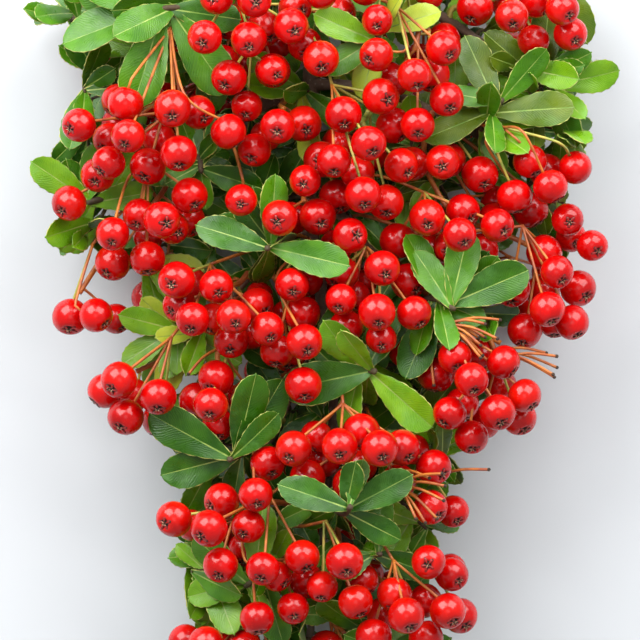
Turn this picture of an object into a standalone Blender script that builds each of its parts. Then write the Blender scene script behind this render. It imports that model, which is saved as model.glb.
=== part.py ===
# Cut branch of a firethorn shrub in full fruit, lying down on a flat surface.
# The hanging branch is laid with its cut end towards +Y and its tip towards -Y,
# and the side that carries most of the fruit faces up.
# Sizes are in millimetres here and become metres as each mesh is made.

import math
import random

import bmesh
import bpy
import numpy as np
from mathutils import Matrix, Vector

MM = 0.001

# The crown is a lens in cross-section: its depth shrinks towards the sides.
MIDDLE_HEIGHT = 22.5
UPPER_DEPTH = 18.0
LOWER_DEPTH = 15.0
HALF_SPREAD = 78.0

# Main stem, from its flat cut to its tip.
STEM_CUT_Y = 106.0
STEM_TIP_Y = -77.0
STEM_SWAY = 3.0
STEM_SWAY_LENGTH = 130.0
STEM_CUT_RADIUS = 2.7
STEM_TIP_RADIUS = 0.9
STEM_SIDES = 8
BOUGH_SIDES = 6

# Fruit, leaves and stalks.
FRUIT_RADIUS = 4.5
FRUIT_FLATNESS = 0.88
STALK_RADIUS = 1.0
PEDICEL_RADIUS = 0.42
TWIG_RADIUS = 1.1
FORK_STEP = 2.2
LEAF_WIDTH_SHARE = 0.44
LEAF_THICKNESS = 0.5
LEAF_SINK = 0.4
GAP = 0.3
NEAREST_POINTS = 0.0004

# Climb of the leaves that fill in round a twig, in radians.
FILL_RISES = (-0.9, -0.5, 0.6)

# Half-widths of a leaf along its length, as shares of its length and greatest half-width.
LEAF_OUTLINE = ((1.0, 0.0), (0.78, 1.0), (0.36, 0.74), (0.0, 0.0))

# name: fraction of the main stem where it leaves, tip x, tip y, tip layer, root radius
BOUGHS = {
    "upper_left_bough": (0.095, -27.0, 76.0, 0.35, 1.9),
    "upper_right_bough": (0.125, 44.0, 62.0, 0.3, 1.9),
    "left_bough": (0.285, -46.0, 31.0, 0.25, 1.8),
    "right_bough": (0.27, 36.0, 45.0, 0.35, 1.6),
    "lower_left_bough": (0.463, -24.0, 1.0, 0.2, 1.5),
    "lower_right_bough": (0.43, 21.0, 6.0, 0.4, 1.5),
    "low_right_bough": (0.60, 15.0, -36.0, 0.25, 1.3),
    "low_left_bough": (0.62, -10.0, -26.0, 0.15, 1.2),
    "bottom_left_bough": (0.78, -10.0, -55.0, 0.35, 1.1),
}

# name: heart x, heart y, layer, half-width, half-height, tilt in degrees, fruits, seed
FRUIT_CLUSTERS = {
    "fruit_upper_left": (-39.0, 45.5, 1.0, 15.2, 7.4, 6, 11, 1),
    "fruit_left_middle": (-41.0, 21.8, 0.85, 12.0, 5.0, 30, 6, 2),
    "fruit_left_pair": (-52.1, 0.9, 0.6, 6.0, 1.5, 0, 2, 3),
    "fruit_centre_left": (-22.5, 1.9, 1.0, 13.0, 4.4, -22, 7, 4),
    "fruit_centre": (-6.6, -1.6, 1.0, 4.0, 11.4, 10, 6, 5),
    "fruit_lower_left": (-42.7, -19.7, 0.85, 8.2, 5.4, -42, 7, 6),
    "fruit_lower_left_inner": (-23.7, -18.8, 0.9, 7.6, 5.0, 8, 6, 7),
    "fruit_top_left": (-18.0, 68.0, 0.85, 13.0, 8.0, 0, 10, 8),
    "fruit_centre_upper_left": (-10.7, 44.0, 0.9, 6.0, 3.0, 25, 3, 9),
    "fruit_middle_pair": (-8.8, 24.6, 1.05, 7.4, 1.4, 0, 2, 10),
    "fruit_centre_upper": (10.4, 39.0, 1.0, 7.4, 11.4, 0, 9, 11),
    "fruit_upper_right_inner": (21.3, 61.0, 0.95, 9.0, 12.0, 12, 10, 12),
    "fruit_right_upper_inner": (29.2, 37.0, 0.75, 7.6, 2.6, -8, 5, 13),
    "fruit_right_inner": (30.0, 20.5, 0.85, 11.0, 5.2, 0, 8, 14),
    "fruit_centre_right": (14.7, 5.9, 0.9, 10.7, 9.0, -30, 10, 15),
    "fruit_right_upper": (51.5, 31.8, 0.75, 7.6, 4.6, 18, 6, 16),
    "fruit_right_middle": (53.0, 6.5, 0.75, 7.0, 7.6, 0, 7, 17),
    "fruit_top_right": (48.6, 71.5, 0.75, 10.6, 4.4, -8, 6, 18),
    "fruit_right_lower": (38.0, -18.0, 0.95, 8.6, 9.4, 20, 10, 19),
    "fruit_low_centre": (10.7, -32.9, 1.0, 14.0, 6.6, -8, 9, 20),
    "fruit_low_left_small": (-13.5, -38.0, 0.95, 3.0, 6.0, 0, 3, 21),
    "fruit_lower_left_bottom": (-19.0, -52.1, 0.9, 13.6, 5.6, -26, 8, 22),
    "fruit_lower_centre": (6.4, -58.5, 0.95, 6.4, 6.0, 0, 6, 23),
    "fruit_bottom_right": (20.5, -70.0, 0.85, 10.6, 5.0, 12, 8, 24),
    "fruit_low_right_pair": (27.5, -43.8, 0.7, 4.6, 1.4, -10, 2, 25),
    "fruit_bottom_left": (-24.5, -76.5, 0.55, 6.4, 2.0, 0, 3, 26),
    "fruit_bottom_tip": (2.0, -84.0, 0.5, 7.0, 4.4, 0, 5, 27),
    "fruit_back_upper_left": (-30.0, 50.0, -0.95, 13.0, 9.0, 0, 6, 28),
    "fruit_back_upper_right": (30.0, 48.0, -0.95, 13.0, 9.0, 0, 6, 29),
    "fruit_back_middle": (8.0, 4.0, -0.95, 15.0, 9.0, 0, 6, 30),
    "fruit_back_lower": (-4.0, -44.0, -0.9, 11.0, 9.0, 0, 6, 31),
}

# name: node x, node y, layer, leaf length, leaf directions seen from the front, leaves
# added round the twig, seed, bough whose tip carries it
LEAF_SPRAYS = {
    "leaves_top_left": (-38.0, 73.0, 1.0, 25.0, (199, 254, 308), 5, 41, "upper_left_bough"),
    "leaves_right_edge": (55.5, 56.0, 0.3, 18.0, (10, -60, 85, 140), 4, 42, "upper_right_bough"),
    "leaves_left_edge": (-57.5, 28.0, 0.3, 17.0, (77, 10, 150, 235), 4, 43, "left_bough"),
    "leaves_upper_right": (43.5, 51.5, 1.0, 19.0, (50, 118, 201, 8), 4, 44, "right_bough"),
    "leaves_left_light": (-34.5, -3.0, 0.35, 17.0, (216, 177, 330, 250), 4, 45, "lower_left_bough"),
    "leaves_right_node": (31.5, 4.0, 1.2, 21.0, (73, 19, 112, 250), 4, 46, "lower_right_bough"),
    "leaves_low_right": (23.0, -47.0, 0.35, 12.0, (42, -60, -100, 5), 4, 47, "low_right_bough"),
    "leaves_low_left": (-19.5, -34.5, 1.1, 22.0, (152, 60, 195), 4, 48, "low_left_bough"),
    "leaves_bottom_left": (-18.5, -63.5, 0.8, 18.0, (143, 180, 83, 222, 285), 4, 49,
                           "bottom_left_bough"),
    "leaves_bottom_tip": (-3.0, -88.0, 0.1, 17.0, (265, 300, 230, 200, 340), 4, 50, "main_stem"),
    "leaves_centre_left": (-13.3, 16.6, 1.35, 20.0, (163, -12, 80), 3, 51, None),
    "leaves_centre_node": (12.6, -12.8, 0.95, 22.0, (188, 322, 46), 3, 52, None),
    "leaves_low_centre": (5.9, -42.0, 1.35, 17.0, (159, 26, 330), 3, 53, None),
    "leaves_bottom_right": (15.4, -55.0, 1.1, 14.0, (83, 195, -20), 3, 54, None),
    "leaves_top_right_centre": (11.4, 65.2, 1.1, 16.0, (160, 209, 255, 20), 3, 55, None),
    "leaves_top_centre": (1.0, 82.0, 0.45, 19.0, (95, 180, 262, 30), 4, 56, None),
    "leaves_left_upper": (-27.7, 36.7, 0.7, 15.0, (-15, 60, 190, 97), 3, 57, None),
    "leaves_back_left": (-22.0, 24.0, -0.6, 20.0, (20, 100, 190, 280), 6, 58, None),
    "leaves_back_right": (24.0, -16.0, -0.6, 20.0, (0, 80, 170, 260), 6, 59, None),
}

BARK = (0.075, 0.045, 0.028)
FRUIT = (0.62, 0.012, 0.015)
LEAF = (0.035, 0.12, 0.02)


def height_at(x, layer):
    """Height of a layer of the crown: 1 is its upper face, -1 its lower one."""
    share = max(0.0, 1.0 - (x / HALF_SPREAD) ** 2)
    depth = UPPER_DEPTH if layer > 0 else LOWER_DEPTH
    return MIDDLE_HEIGHT + layer * depth * math.sqrt(share)


def bend(start, control, end, steps):
    """Points along a quadratic curve."""
    points = []
    for i in range(steps + 1):
        t = i / steps
        points.append(start * (1 - t) ** 2 + control * 2 * t * (1 - t) + end * t * t)
    return points


def length_of(points):
    return sum((a - b).length for a, b in zip(points, points[1:]))


def limb_point(limb, share):
    """Position, direction and radius at a share of a limb's length."""
    points, radii = limb
    left = share * length_of(points)
    for i, (a, b) in enumerate(zip(points, points[1:])):
        run = (b - a).length
        if left <= run or i == len(points) - 2:
            t = min(1.0, left / run)
            return a.lerp(b, t), (b - a).normalized(), radii[i] * (1 - t) + radii[i + 1] * t
        left -= run


def square_to(direction, along):
    """The part of a direction that is square to another, as a unit vector."""
    return (direction - along * direction.dot(along)).normalized()


class Room:
    """The balls that fill what has been placed, each with its owner's name."""

    def __init__(self):
        self.rows = np.zeros((0, 4))
        self.owners = []

    def add(self, owner, balls):
        self.rows = np.vstack([self.rows, np.array([[*p, r] for p, r in balls])])
        self.owners = np.append(self.owners, [owner] * len(balls))

    def clear(self, owner, balls, also=None):
        """True if the balls keep the gap to all that others have placed."""
        mine = np.array([[*p, r] for p, r in balls])
        reach = mine[:, 3].max() + 7.0
        low = mine[:, :3].min(axis=0) - reach
        high = mine[:, :3].max(axis=0) + reach
        near = ((self.rows[:, :3] > low) & (self.rows[:, :3] < high)).all(axis=1)
        near &= (self.owners != owner) & (self.owners != also)
        others = self.rows[near]
        if not len(others):
            return True
        apart = np.linalg.norm(mine[:, None, :3] - others[None, :, :3], axis=2)
        return bool((apart - mine[:, None, 3] - others[None, :, 3] > GAP).all())


def tube_balls(points, radii, step=1.0):
    """Balls along a tube."""
    balls = []
    for i in range(len(points) - 1):
        count = max(1, int((points[i + 1] - points[i]).length / step))
        for k in range(count + 1):
            t = k / count
            balls.append((points[i].lerp(points[i + 1], t),
                          radii[i] * (1 - t) + radii[i + 1] * t))
    return balls


def leaf_frame(leaf, along, across):
    """A place on a leaf's blade, which is folded along its midrib and curls down."""
    base, direction, face, length, width, fold, curl = leaf
    side = face.cross(direction)
    lift = abs(across) * width * fold - curl * length * along ** 2
    return base + direction * length * along + side * across * width + face * lift


def half_width_at(along):
    """Half-width of the leaf's outline, as a share of the greatest one."""
    outline = LEAF_OUTLINE[::-1]
    for (a, wide_a), (b, wide_b) in zip(outline, outline[1:]):
        if along <= b:
            return wide_a + (wide_b - wide_a) * (along - a) / (b - a)
    return 0.0


def leaf_balls(leaf):
    """Balls over a leaf's blade."""
    balls = []
    for i in range(2, 12):
        along = i / 11
        wide = half_width_at(along)
        for across in (-0.86, -0.43, 0.0, 0.43, 0.86):
            balls.append((leaf_frame(leaf, along, across * wide), 0.75))
    return balls


def grow_limbs(room):
    """The main stem and its boughs, each a list of points and a list of radii."""
    limbs = {}
    steps = 15
    points = []
    radii = []
    for i in range(steps + 1):
        share = i / steps
        y = STEM_CUT_Y + (STEM_TIP_Y - STEM_CUT_Y) * share
        turn = 2 * math.pi * (STEM_CUT_Y - y) / STEM_SWAY_LENGTH
        x = STEM_SWAY * math.cos(turn)
        z = MIDDLE_HEIGHT + 1.5 * math.cos(turn * 0.7) - 2.0 * share
        points.append(Vector((x, y, z)))
        radii.append(STEM_CUT_RADIUS + (STEM_TIP_RADIUS - STEM_CUT_RADIUS) * share ** 0.85)
    points[0] = points[1] + Vector((0, STEM_CUT_Y - points[1].y, 0))
    limbs["main_stem"] = (points, radii)
    room.add("main_stem", tube_balls(points, radii))
    for name, (share, x, y, layer, root_radius) in BOUGHS.items():
        centre, along, thick = limb_point(limbs["main_stem"], share)
        tip = Vector((x, y, height_at(x, layer)))
        out = square_to(tip - centre, along)
        start = centre + out * (thick + GAP)
        control = start.lerp(tip, 0.5) + Vector((0, 5.0, 2.0))
        path = [start] + bend(start + out * 2.0, control, tip, 6)
        radii = [root_radius * (1 - 0.5 * i / (len(path) - 1)) for i in range(len(path))]
        limbs[name] = (path, radii)
        room.add(name, tube_balls(path, radii))
    return limbs


def roots_for(goal, limbs, tip_of):
    """Places on the limbs where a stalk to the goal may start, the best one first."""
    if tip_of:
        points, radii = limbs[tip_of]
        along = (points[-1] - points[-2]).normalized()
        return [(0.0, tip_of, points[-1] + along * GAP, along)]
    roots = []
    for name, limb in limbs.items():
        for k in range(2, 40):
            centre, along, thick = limb_point(limb, k / 41)
            out = square_to(goal - centre, along)
            start = centre + out * (thick + GAP)
            run = goal - start
            cost = run.length + 1.2 * max(0.0, 3.0 + run.y)
            if run.length > 5.0:
                roots.append((cost, name, start, out))
    return sorted(roots, key=lambda root: root[0])[:60]


def route(owner, goal, limbs, room, rng, radius, tip_of=None, lift=0.0):
    """A curved stalk from a limb to the goal that touches nothing."""
    for cost, limb, start, out in roots_for(goal, limbs, tip_of):
        for _ in range(7):
            run = (goal - start).length
            stray = Vector([rng.uniform(-1, 1) for _ in range(3)]) * run * 0.3
            control = start.lerp(goal, 0.5) + stray + Vector((0, lift * run, 0))
            path = [start] + bend(start + out * min(1.8, run * 0.2), control, goal, 2)
            radii = [radius * (1.0 - 0.25 * i / 3) for i in range(4)]
            low = min(p.z for p in path)
            if low < radius:
                continue
            balls = tube_balls(path, radii)
            if room.clear(owner, balls, limb) and room.clear(owner, balls[3:]):
                room.add(owner, balls)
                return path, radii
    return None


def place_fruit(name, room):
    """The fruit of one cluster, spread evenly over its own space."""
    x, y, layer, half_x, half_y, tilt, count, seed = FRUIT_CLUSTERS[name]
    rng = random.Random(seed)
    half = Vector((half_x, half_y, 0.36 * (half_x + half_y) + 2.5))
    turn = Matrix.Rotation(math.radians(tilt), 3, "Z")
    heart = Vector((x, y, height_at(x, layer)))
    placed = []
    for _ in range(count):
        best = None
        radius = FRUIT_RADIUS * rng.uniform(0.94, 1.05)
        for attempt in range(300):
            spot = Vector([rng.uniform(-1, 1) for _ in range(3)]) * (1.0 + attempt * 0.0015)
            if spot.length > 1.0 + attempt * 0.0015:
                continue
            point = heart + turn @ Vector([spot[k] * half[k] for k in range(3)])
            point.z = max(point.z, radius)
            if any((point - q).length < radius + r + 0.15 for q, r in placed):
                continue
            if not room.clear(name, [(point, radius)]):
                continue
            spread = min([(point - q).xy.length for q, r in placed], default=0.0)
            score = min(spread, radius * 1.9) + 0.12 * (point.z - heart.z) * (1 if layer > 0 else -1)
            if best is None or score > best[0]:
                best = (score, point, radius)
        if best:
            placed.append(best[1:])
            room.add(name, [best[1:]])
    return placed


def grow_cluster(name, fruit, limbs, room):
    """Stalk, branchlets and fruit stalks that carry one cluster's fruit."""
    x, y, layer, half_x, half_y, tilt, count, seed = FRUIT_CLUSTERS[name]
    rng = random.Random(seed + 500)
    middle = sum((p for p, r in fruit), Vector()) / len(fruit)
    below = 1.0 if layer > 0 else -1.0
    stalk = None
    for k in range(90):
        stray = 3.0 + k * 0.06
        goal = middle + Vector((rng.uniform(-stray, stray), half_y * 0.5 + rng.uniform(1, 2 + stray),
                                -below * rng.uniform(5, 10)))
        if not room.clear("", [(goal, STALK_RADIUS)]):
            continue
        stalk = route(name, goal, limbs, room, rng, STALK_RADIUS, lift=0.12)
        if stalk:
            break
    hub = stalk[0][-1]
    tubes = [stalk]
    order = sorted(fruit, key=lambda f: math.atan2((f[0] - hub).y, (f[0] - hub).x))
    groups = max(1, round(len(order) / 3.5))
    berries = []
    for g in range(groups):
        members = order[g * len(order) // groups:(g + 1) * len(order) // groups]
        mean = sum((p for p, r in members), Vector()) / len(members)
        carrier = stalk
        if g:
            start = limb_point(stalk, 1.0 - (FORK_STEP * g - 1.0) / length_of(stalk[0]))[0]
            joint = start.lerp(mean, 0.45) + Vector((0, 1.0, -below))
            if room.clear("", [(joint, 0.6)]):
                carrier = [start, joint], [STALK_RADIUS * 0.85, STALK_RADIUS * 0.75]
                tubes.append(carrier)
                room.add(name, tube_balls(*carrier))
        step = FORK_STEP / length_of(carrier[0])
        for k, (point, radius) in enumerate(members):
            starts = [limb_point(carrier, max(0.1, 0.96 - step * (k + i)))[0] for i in (0, 1.5)]
            thin = fruit_stalk(name, starts, point, radius, room, rng)
            if thin:
                tubes.append(thin)
                berries.append((point, (point - thin[0][-2]).normalized(), radius))
    return tubes, berries


def fruit_stalk(name, starts, point, radius, room, rng):
    """A thin stalk from a joint to the middle of a fruit, bent where it has to be."""
    for attempt in range(16):
        start = starts[attempt % 2]
        run = point - start
        middle = start.lerp(point, 0.5)
        if attempt > 1:
            middle += Vector([rng.uniform(-1, 1) for _ in range(3)]) * run.length * 0.35
        last = point - (point - middle).normalized() * radius * 0.9
        outer = [start, middle, last]
        thin = [PEDICEL_RADIUS, PEDICEL_RADIUS, PEDICEL_RADIUS * 0.85]
        if room.clear(name, tube_balls(outer, thin)):
            room.add(name, tube_balls(outer, thin))
            if attempt > 1:
                return [start, middle, point], thin
            return [start, point], thin[1:]
    return None


def grow_twig(name, limbs, room):
    """The twig of one spray, from a bough's tip or side to its node."""
    x, y, layer, length, angles, more, seed, tip_of = LEAF_SPRAYS[name]
    rng = random.Random(seed + 700)
    node = Vector((x, y, height_at(x, layer)))
    for _ in range(40):
        goal = node + Vector([rng.uniform(-2, 2) for _ in range(3)])
        found = route(name, goal, limbs, room, rng, TWIG_RADIUS, tip_of)
        if found:
            return found
    return None


def grow_leaves(name, twig, room, seen):
    """The leaves in the seen directions, or those that fill in all round their twig."""
    x, y, layer, length, angles, more, seed, tip_of = LEAF_SPRAYS[name]
    rng = random.Random(seed + (0 if seen else 300))
    if seen:
        wanted = [(math.radians(angle), 0.0) for angle in angles]
    else:
        wanted = [(rng.uniform(0, 2 * math.pi), rng.choice(FILL_RISES)) for _ in range(more)]
    first = 0 if seen else len(angles)
    leaves = []
    for k, (angle, rise) in enumerate(wanted, first):
        base, along, thick = limb_point(twig, 0.95 - 0.08 * k)
        for attempt in range(44):
            stray = 0.08 + attempt * 0.02
            turn = angle + rng.uniform(-stray, stray)
            climb = max(-1.3, min(1.3, rise + rng.uniform(-stray, stray) * 1.3))
            direction = Vector((math.cos(turn) * math.cos(climb),
                                math.sin(turn) * math.cos(climb), math.sin(climb)))
            lean = Vector((rng.uniform(-0.5, 0.5), rng.uniform(-0.5, 0.5), 1.0))
            size = length * rng.uniform(0.86, 1.05) * (1.0 if seen else 0.85)
            size *= 1.0 - 0.006 * attempt
            leaf = (base - direction * LEAF_SINK, direction, square_to(lean, direction), size,
                    size * LEAF_WIDTH_SHARE * 0.5, rng.uniform(0.12, 0.4),
                    rng.uniform(-0.04, 0.16))
            balls = leaf_balls(leaf)
            others = name + " leaves"
            if min(p.z for p, r in balls) < 0.5 or not room.clear(name, balls, others):
                continue
            if not room.clear(name, balls[15:]):
                continue
            room.add(others, balls)
            leaves.append(leaf)
            break
    return leaves


def tube_mesh(points, radii, sides):
    """Closed tube through the points, made by drawing out a round face."""
    bm = bmesh.new()
    bmesh.ops.create_circle(bm, cap_ends=True, radius=1.0, segments=sides)
    bm.faces.ensure_lookup_table()
    face = bm.faces[0]
    side = square_to(Vector((0.31, 0.17, 0.94)), (points[1] - points[0]).normalized())
    last = Matrix.Identity(4)
    for i, point in enumerate(points):
        before = points[max(i - 1, 0)]
        after = points[min(i + 1, len(points) - 1)]
        along = (after - before).normalized()
        side = square_to(side, along)
        turn = Matrix((side, along.cross(side), along)).transposed().to_4x4()
        here = Matrix.Translation(point) @ turn @ Matrix.Scale(radii[i], 4)
        if i:
            grown = bmesh.ops.extrude_face_region(bm, geom=[face])["geom"]
            if i > 1:
                bmesh.ops.delete(bm, geom=[face], context="FACES_ONLY")
            face = next(g for g in grown if isinstance(g, bmesh.types.BMFace))
        bmesh.ops.transform(bm, matrix=here @ last.inverted(), verts=face.verts)
        last = here
    bmesh.ops.recalc_face_normals(bm, faces=bm.faces)
    return bm


def fruit_mesh(point, axis, radius):
    """A fruit flattened along its stalk's line, which enters it in the middle of a face."""
    bm = bmesh.new()
    turn = axis.to_track_quat("Z", "Y").to_matrix().to_4x4()
    flat = Matrix.Diagonal((1.0, 1.0, FRUIT_FLATNESS, 1.0))
    tip = Matrix.Rotation(math.radians(112.5), 4, "X")
    spin = Matrix.Rotation(math.radians(30.0), 4, "Z")
    bmesh.ops.create_uvsphere(bm, u_segments=6, v_segments=4, radius=radius * 1.03,
                              matrix=Matrix.Translation(point) @ turn @ flat @ tip @ spin)
    return bm


def leaf_mesh(leaf):
    """A thin blade: a low double cone whose rim is drawn out to the leaf's outline."""
    bm = bmesh.new()
    bmesh.ops.create_uvsphere(bm, u_segments=6, v_segments=2, radius=1.0)
    face = leaf[2]
    for vert in bm.verts:
        around = math.atan2(vert.co.y, vert.co.x)
        if abs(vert.co.z) > 0.5:
            vert.co = leaf_frame(leaf, 0.55, 0.0) + face * LEAF_THICKNESS * 0.5 * vert.co.z
            continue
        step = round(abs(around) / (math.pi / 3))
        along, wide = LEAF_OUTLINE[step]
        vert.co = leaf_frame(leaf, along, math.copysign(wide, around))
    return bm


def to_object(bm, name, collection):
    """A mesh in millimetres becomes an object in metres."""
    bmesh.ops.scale(bm, vec=(MM, MM, MM), verts=bm.verts)
    bmesh.ops.recalc_face_normals(bm, faces=bm.faces)
    mesh = bpy.data.meshes.new(name)
    bm.to_mesh(mesh)
    bm.free()
    obj = bpy.data.objects.new(name, mesh)
    collection.objects.link(obj)
    return obj


def keep_largest(mesh):
    """Drop loose scraps and the shells of sealed hollows."""
    bm = bmesh.new()
    bm.from_mesh(mesh)
    left = set(bm.verts)
    islands = []
    while left:
        stack = [left.pop()]
        island = list(stack)
        while stack:
            for edge in stack.pop().link_edges:
                for vert in edge.verts:
                    if vert in left:
                        left.remove(vert)
                        stack.append(vert)
                        island.append(vert)
        islands.append(island)
    islands.sort(key=len)
    for island in islands[:-1]:
        bmesh.ops.delete(bm, geom=island, context="VERTS")
    close = bmesh.ops.find_doubles(bm, verts=bm.verts, dist=NEAREST_POINTS * MM)["targetmap"]
    sound = not close and all(edge.is_manifold for edge in bm.edges)
    bm.to_mesh(mesh)
    bm.free()
    return sound


def join(name, shapes, home):
    """One Boolean union of a mass's pieces, nudged and made again while it isn't sound."""
    rng = random.Random(name)
    for attempt in range(8):
        obj, sound = union_of(name, shapes, home, rng, attempt * 0.02)
        if sound or attempt == 7:
            return obj
        bpy.data.objects.remove(obj)


def union_of(name, shapes, home, rng, nudge):
    pieces = [maker(*sizes) for maker, sizes in shapes]
    for bm in pieces[1:]:
        shift = Vector([rng.uniform(-nudge, nudge) for _ in range(3)])
        bmesh.ops.translate(bm, vec=shift, verts=bm.verts)
    cutters = bpy.data.collections.new("pieces of " + name)
    bpy.context.scene.collection.children.link(cutters)
    first = to_object(pieces[0], name, home)
    for k, bm in enumerate(pieces[1:]):
        to_object(bm, f"{name} piece {k}", cutters)
    union = first.modifiers.new("join", "BOOLEAN")
    union.operation = "UNION"
    union.operand_type = "COLLECTION"
    union.collection = cutters
    union.solver = "EXACT"
    union.use_self = False
    bpy.context.view_layer.update()
    graph = bpy.context.evaluated_depsgraph_get()
    mesh = bpy.data.meshes.new_from_object(first.evaluated_get(graph))
    first.modifiers.clear()
    first.data = mesh
    mesh.name = name
    for obj in list(cutters.objects):
        bpy.data.objects.remove(obj)
    bpy.data.collections.remove(cutters)
    return first, keep_largest(mesh)


def paint(obj, colour, roughness):
    """A material of the object's own."""
    material = bpy.data.materials.new(obj.name)
    material.use_nodes = True
    obj.data.shade_smooth()
    obj.data.set_sharp_from_angle(angle=math.radians(70))
    shader = material.node_tree.nodes["Principled BSDF"]
    shader.inputs["Base Color"].default_value = (*colour, 1.0)
    shader.inputs["Roughness"].default_value = roughness
    obj.data.materials.clear()
    obj.data.materials.append(material)


def grow():
    """Everything on the branch, as sizes and places."""
    room = Room()
    limbs = grow_limbs(room)
    twigs = {name: grow_twig(name, limbs, room) for name in LEAF_SPRAYS}
    leaves = {name: grow_leaves(name, twigs[name], room, True) for name in LEAF_SPRAYS}
    fruit = {name: place_fruit(name, room) for name in FRUIT_CLUSTERS}
    clusters = {name: grow_cluster(name, fruit[name], limbs, room) for name in FRUIT_CLUSTERS}
    for name in LEAF_SPRAYS:
        leaves[name] += grow_leaves(name, twigs[name], room, False)
    sprays = {name: ([twigs[name]], leaves[name]) for name in LEAF_SPRAYS}
    return limbs, clusters, sprays


def main():
    for obj in list(bpy.data.objects):
        bpy.data.objects.remove(obj)
    home = bpy.data.collections.new("firethorn branch")
    bpy.context.scene.collection.children.link(home)
    limbs, clusters, sprays = grow()
    for name, (points, radii) in limbs.items():
        sides = STEM_SIDES if name == "main_stem" else BOUGH_SIDES
        paint(to_object(tube_mesh(points, radii, sides), name, home), BARK, 0.8)
    for name, (tubes, berries) in clusters.items():
        shapes = [(tube_mesh, (*tube, 3)) for tube in tubes]
        shapes += [(fruit_mesh, berry) for berry in berries]
        paint(join(name, shapes, home), FRUIT, 0.2)
    for name, (tubes, leaves) in sprays.items():
        shapes = [(tube_mesh, (*tube, 3)) for tube in tubes]
        shapes += [(leaf_mesh, (leaf,)) for leaf in leaves]
        paint(join(name, shapes, home), LEAF, 0.4)
    bpy.context.view_layer.update()
    corners = [obj.matrix_world @ vert.co for obj in home.objects for vert in obj.data.vertices]
    low = Vector([min(c[k] for c in corners) for k in range(3)])
    high = Vector([max(c[k] for c in corners) for k in range(3)])
    stand = bpy.data.objects.new("branch", None)
    home.objects.link(stand)
    stand.location = (-(low.x + high.x) / 2, -(low.y + high.y) / 2, -low.z)
    for obj in home.objects:
        if obj is not stand:
            obj.parent = stand


main()
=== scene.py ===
# Looks of a cut firethorn branch in full fruit, lying on a pale floor with its fruit side up.
# The branch is grown again by the rule of its solids, in millimetres, and then carried on to
# more fruit, more leaves and finer twigs within the same reach.
import math
import random

import bmesh
import bpy
import numpy as np
from mathutils import Matrix, Vector, noise


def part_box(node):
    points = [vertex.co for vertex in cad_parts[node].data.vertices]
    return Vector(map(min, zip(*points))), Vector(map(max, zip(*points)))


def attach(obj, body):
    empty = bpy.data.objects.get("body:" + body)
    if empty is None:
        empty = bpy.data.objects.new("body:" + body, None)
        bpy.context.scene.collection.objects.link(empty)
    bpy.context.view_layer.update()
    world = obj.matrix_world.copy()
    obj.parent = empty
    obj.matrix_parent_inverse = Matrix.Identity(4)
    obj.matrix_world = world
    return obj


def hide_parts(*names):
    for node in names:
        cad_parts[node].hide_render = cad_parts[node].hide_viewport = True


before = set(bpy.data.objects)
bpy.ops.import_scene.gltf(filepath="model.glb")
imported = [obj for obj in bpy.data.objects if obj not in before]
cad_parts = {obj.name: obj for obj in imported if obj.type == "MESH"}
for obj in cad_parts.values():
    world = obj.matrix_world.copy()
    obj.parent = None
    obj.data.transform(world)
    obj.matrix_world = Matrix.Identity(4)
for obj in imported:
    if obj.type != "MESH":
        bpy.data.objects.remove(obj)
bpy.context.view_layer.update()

print("frame loaded:", len(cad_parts), "nodes")

# The crown is a lens in cross-section: its depth shrinks towards the sides
crown = {"middleHeight": 22.5, "upperDepth": 18.0, "lowerDepth": 15.0, "halfSpread": 78.0}

stem = {"cutY": 106.0, "tipY": -77.0, "sway": 3.0, "swayLength": 130.0,
        "cutRadius": 2.7, "tipRadius": 0.9, "solidSides": 8}

growth = {"fruitRadius": 4.5, "stalkRadius": 1.0, "pedicelRadius": 0.42, "twigRadius": 1.1,
          "forkStep": 2.2, "leafWidthShare": 0.44, "leafSink": 0.4, "gap": 0.3,
          "clusterDepth": (0.36, 2.5), "fillRises": (-0.9, -0.5, 0.6),
          "leafFolds": (0.12, 0.4), "leafCurls": (-0.04, 0.16), "fruitSizes": (0.94, 1.05),
          "fruitTries": 300, "routeTries": 7, "perFork": 3.5,
          "leafOutline": ((1.0, 0.0), (0.78, 1.0), (0.36, 0.74), (0.0, 0.0))}

# name: fraction of the main stem where it leaves, tip x, tip y, tip layer, root radius
boughs = {
    "upper_left_bough": (0.095, -27.0, 76.0, 0.35, 1.9),
    "upper_right_bough": (0.125, 44.0, 62.0, 0.3, 1.9),
    "left_bough": (0.285, -46.0, 31.0, 0.25, 1.8),
    "right_bough": (0.27, 36.0, 45.0, 0.35, 1.6),
    "lower_left_bough": (0.463, -24.0, 1.0, 0.2, 1.5),
    "lower_right_bough": (0.43, 21.0, 6.0, 0.4, 1.5),
    "low_right_bough": (0.60, 15.0, -36.0, 0.25, 1.3),
    "low_left_bough": (0.62, -10.0, -26.0, 0.15, 1.2),
    "bottom_left_bough": (0.78, -10.0, -55.0, 0.35, 1.1),
}

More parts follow.
